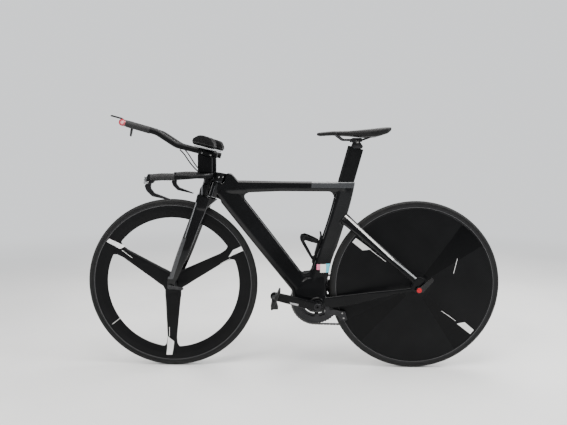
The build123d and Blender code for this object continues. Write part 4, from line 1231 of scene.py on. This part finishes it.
# pedals: a thin platform, a block with the claw behind it, and the axle's barrel
pedalForms = [
    # behind and above the pedal's axis, radius, inner and outer side
    [(20.5, 33, 3.6, 79, 132), (-7.5, -33, 4.2, 79, 132)],
    [(11, 14, 6, 82, 130), (-5.5, -22, 7, 82, 130)],
    [(-9, -33, 3.5, 88, 124), (12, -32.5, 4, 90, 122), (3, -8, 5, 88, 124)],
    [(0, 0, 9, 77.8, 135.2)],
]
for side, name, node, body, (behind, height) in (
    (-1, "clipPedalLeft", "pedal_left", "left_pedal", leftPedalAxis),
    (1, "clipPedalRight", "pedal_right", "right_pedal", rightPedalAxis),
):
    forms = [
        [(behind + b, height + h, r, side * inner, side * outer) for b, h, r, inner, outer in form]
        for form in pedalForms
    ]
    makeForm(name, body, "black_plastic", "black_plastic", "pedal", forms, node)
print("cranks and pedals ready")


# Bolts, screws and caps, each on the surface of the node that it holds.
# Their rings, from the outside in: share of the radius, share of the height, sides
boltRings = [(1, 0.7, 24), (0.9, 0.93, 24), (0.78, 1, 24), (0.55, 1, 6), (0.5, 0.3, 6)]
capRings = [
    (1, 0.5, 32), (0.94, 1, 32), (0.72, 1, 32), (0.68, 0.45, 32), (0.5, 0.45, 32),
    (0.46, 0.9, 32), (0.3, 0.9, 12), (0.28, 0.2, 12),
]
left, right, front = Vector((0, -1, 0)), Vector((0, 1, 0)), Vector((-1, 0, 0))
spider = {"reach": 65, "firstDegrees": -14.5, "bolts": 5}
spiderPlaces = []
for number in range(spider["bolts"]):
    angle = math.radians(spider["firstDegrees"] - 360 / spider["bolts"] * number)
    reach = Vector((math.cos(angle), math.sin(angle))) * spider["reach"]
    spiderPlaces.append((crankAxis[0] + reach.x, crankAxis[1] + reach.y))

fasteners = {
    # piece: body, finish, rows of node, places behind and above, ways it faces, shape, radius, height
    "frameBolts": ("frame", "steel", [
        ("seatpost_clamp", [(714, 894)], (left, right), boltRings, 4.4, 2.4),
        ("rear_brake", [(669, 227)], (left, right), boltRings, 3.2, 2.0),
        ("rear_brake", [(675, 208)], (left,), boltRings, 3.2, 2.0),
        ("bottle_cage", [(0, 512), (0, 452)], (front,), boltRings, 3.6, 2.0),
        ("front_derailleur", [(552, 366)], (left,), boltRings, 3.4, 1.8),
        ("rear_derailleur", [(958, 252)], (right,), boltRings, 5.0, 2.0),
        ("rear_derailleur", [(930, 178)], (right,), boltRings, 3.6, 1.6),
        ("rear_derailleur", [(962, 292)], (right,), boltRings, 5.4, 2.2),
    ]),
    "frontEndBolts": ("front_end", "steel", [
        ("brake_lever_left", [(-36, 741.5)], (left,), boltRings, 3.4, 1.6),
        ("brake_lever_right", [(-36, 741.5)], (right,), boltRings, 3.4, 1.6),
        ("stem", [(186, 757), (200, 757)], (left, right), boltRings, 3.0, 1.4),
        ("pad_brackets", [(128, 848), (160, 840)], (left, right), boltRings, 3.0, 1.4),
        ("brake_cover", [(0, 712), (0, 692)], (front,), boltRings, 2.4, 1.0),
    ]),
    "crankCaps": ("crankset", "black_alloy", [
        ("crank_axle", [crankAxis], (left, right), capRings, 14.0, 1.6),
    ]),
    "chainringBolts": ("crankset", "steel", [
        ("crank_arm_right", spiderPlaces, (right,), boltRings, 4.4, 1.2),
    ]),
    "pedalCapLeft": ("left_pedal", "black_alloy", [
        ("pedal_left", [leftPedalAxis], (left,), capRings, 7.6, 1.2),
    ]),
    "pedalCapRight": ("right_pedal", "black_alloy", [
        ("pedal_right", [rightPedalAxis], (right,), capRings, 7.6, 1.2),
    ]),
}
# millimetres: from where, outside the bike, surfaces are sought, and how deep a piece sits
seating = {"ahead": -200, "aside": 300, "sunk": 1.5}


def makeFasteners(name, body, finish, rows):
    mesh = bmesh.new()
    for node, places, ways, shape, radius, proud in rows:
        solid = welded(node)
        surface = BVHTree.FromBMesh(solid)
        solid.free()
        for (behind, height), faces in itertools.product(places, ways):
            if faces == front:
                start = spot(seating["ahead"], height)
            else:
                start = spot(behind, height, seating["aside"] * faces.y)
            place = surface.ray_cast(start, -faces)[0]
            if place is None:
                print("no surface for", name, "on", node, "at", behind, height)
                continue
            turn = Matrix.Translation(place) @ faces.to_track_quat("Z", "Y").to_matrix().to_4x4()
            rings = [(1, -seating["sunk"] / proud, shape[0][2]), *shape]
            ringed(mesh, [
                (turn @ Matrix.Translation((0, 0, proud * rise / 1000)), radius * share / 1000, sides)
                for share, rise, sides in rings
            ])
    bmesh.ops.recalc_face_normals(mesh, faces=mesh.faces)
    fitted(smoothed(pieceFrom(name, mesh), 30), body, finish, finishes[finish])


for name, facts in fasteners.items():
    makeFasteners(name, *facts)
print("fasteners ready")
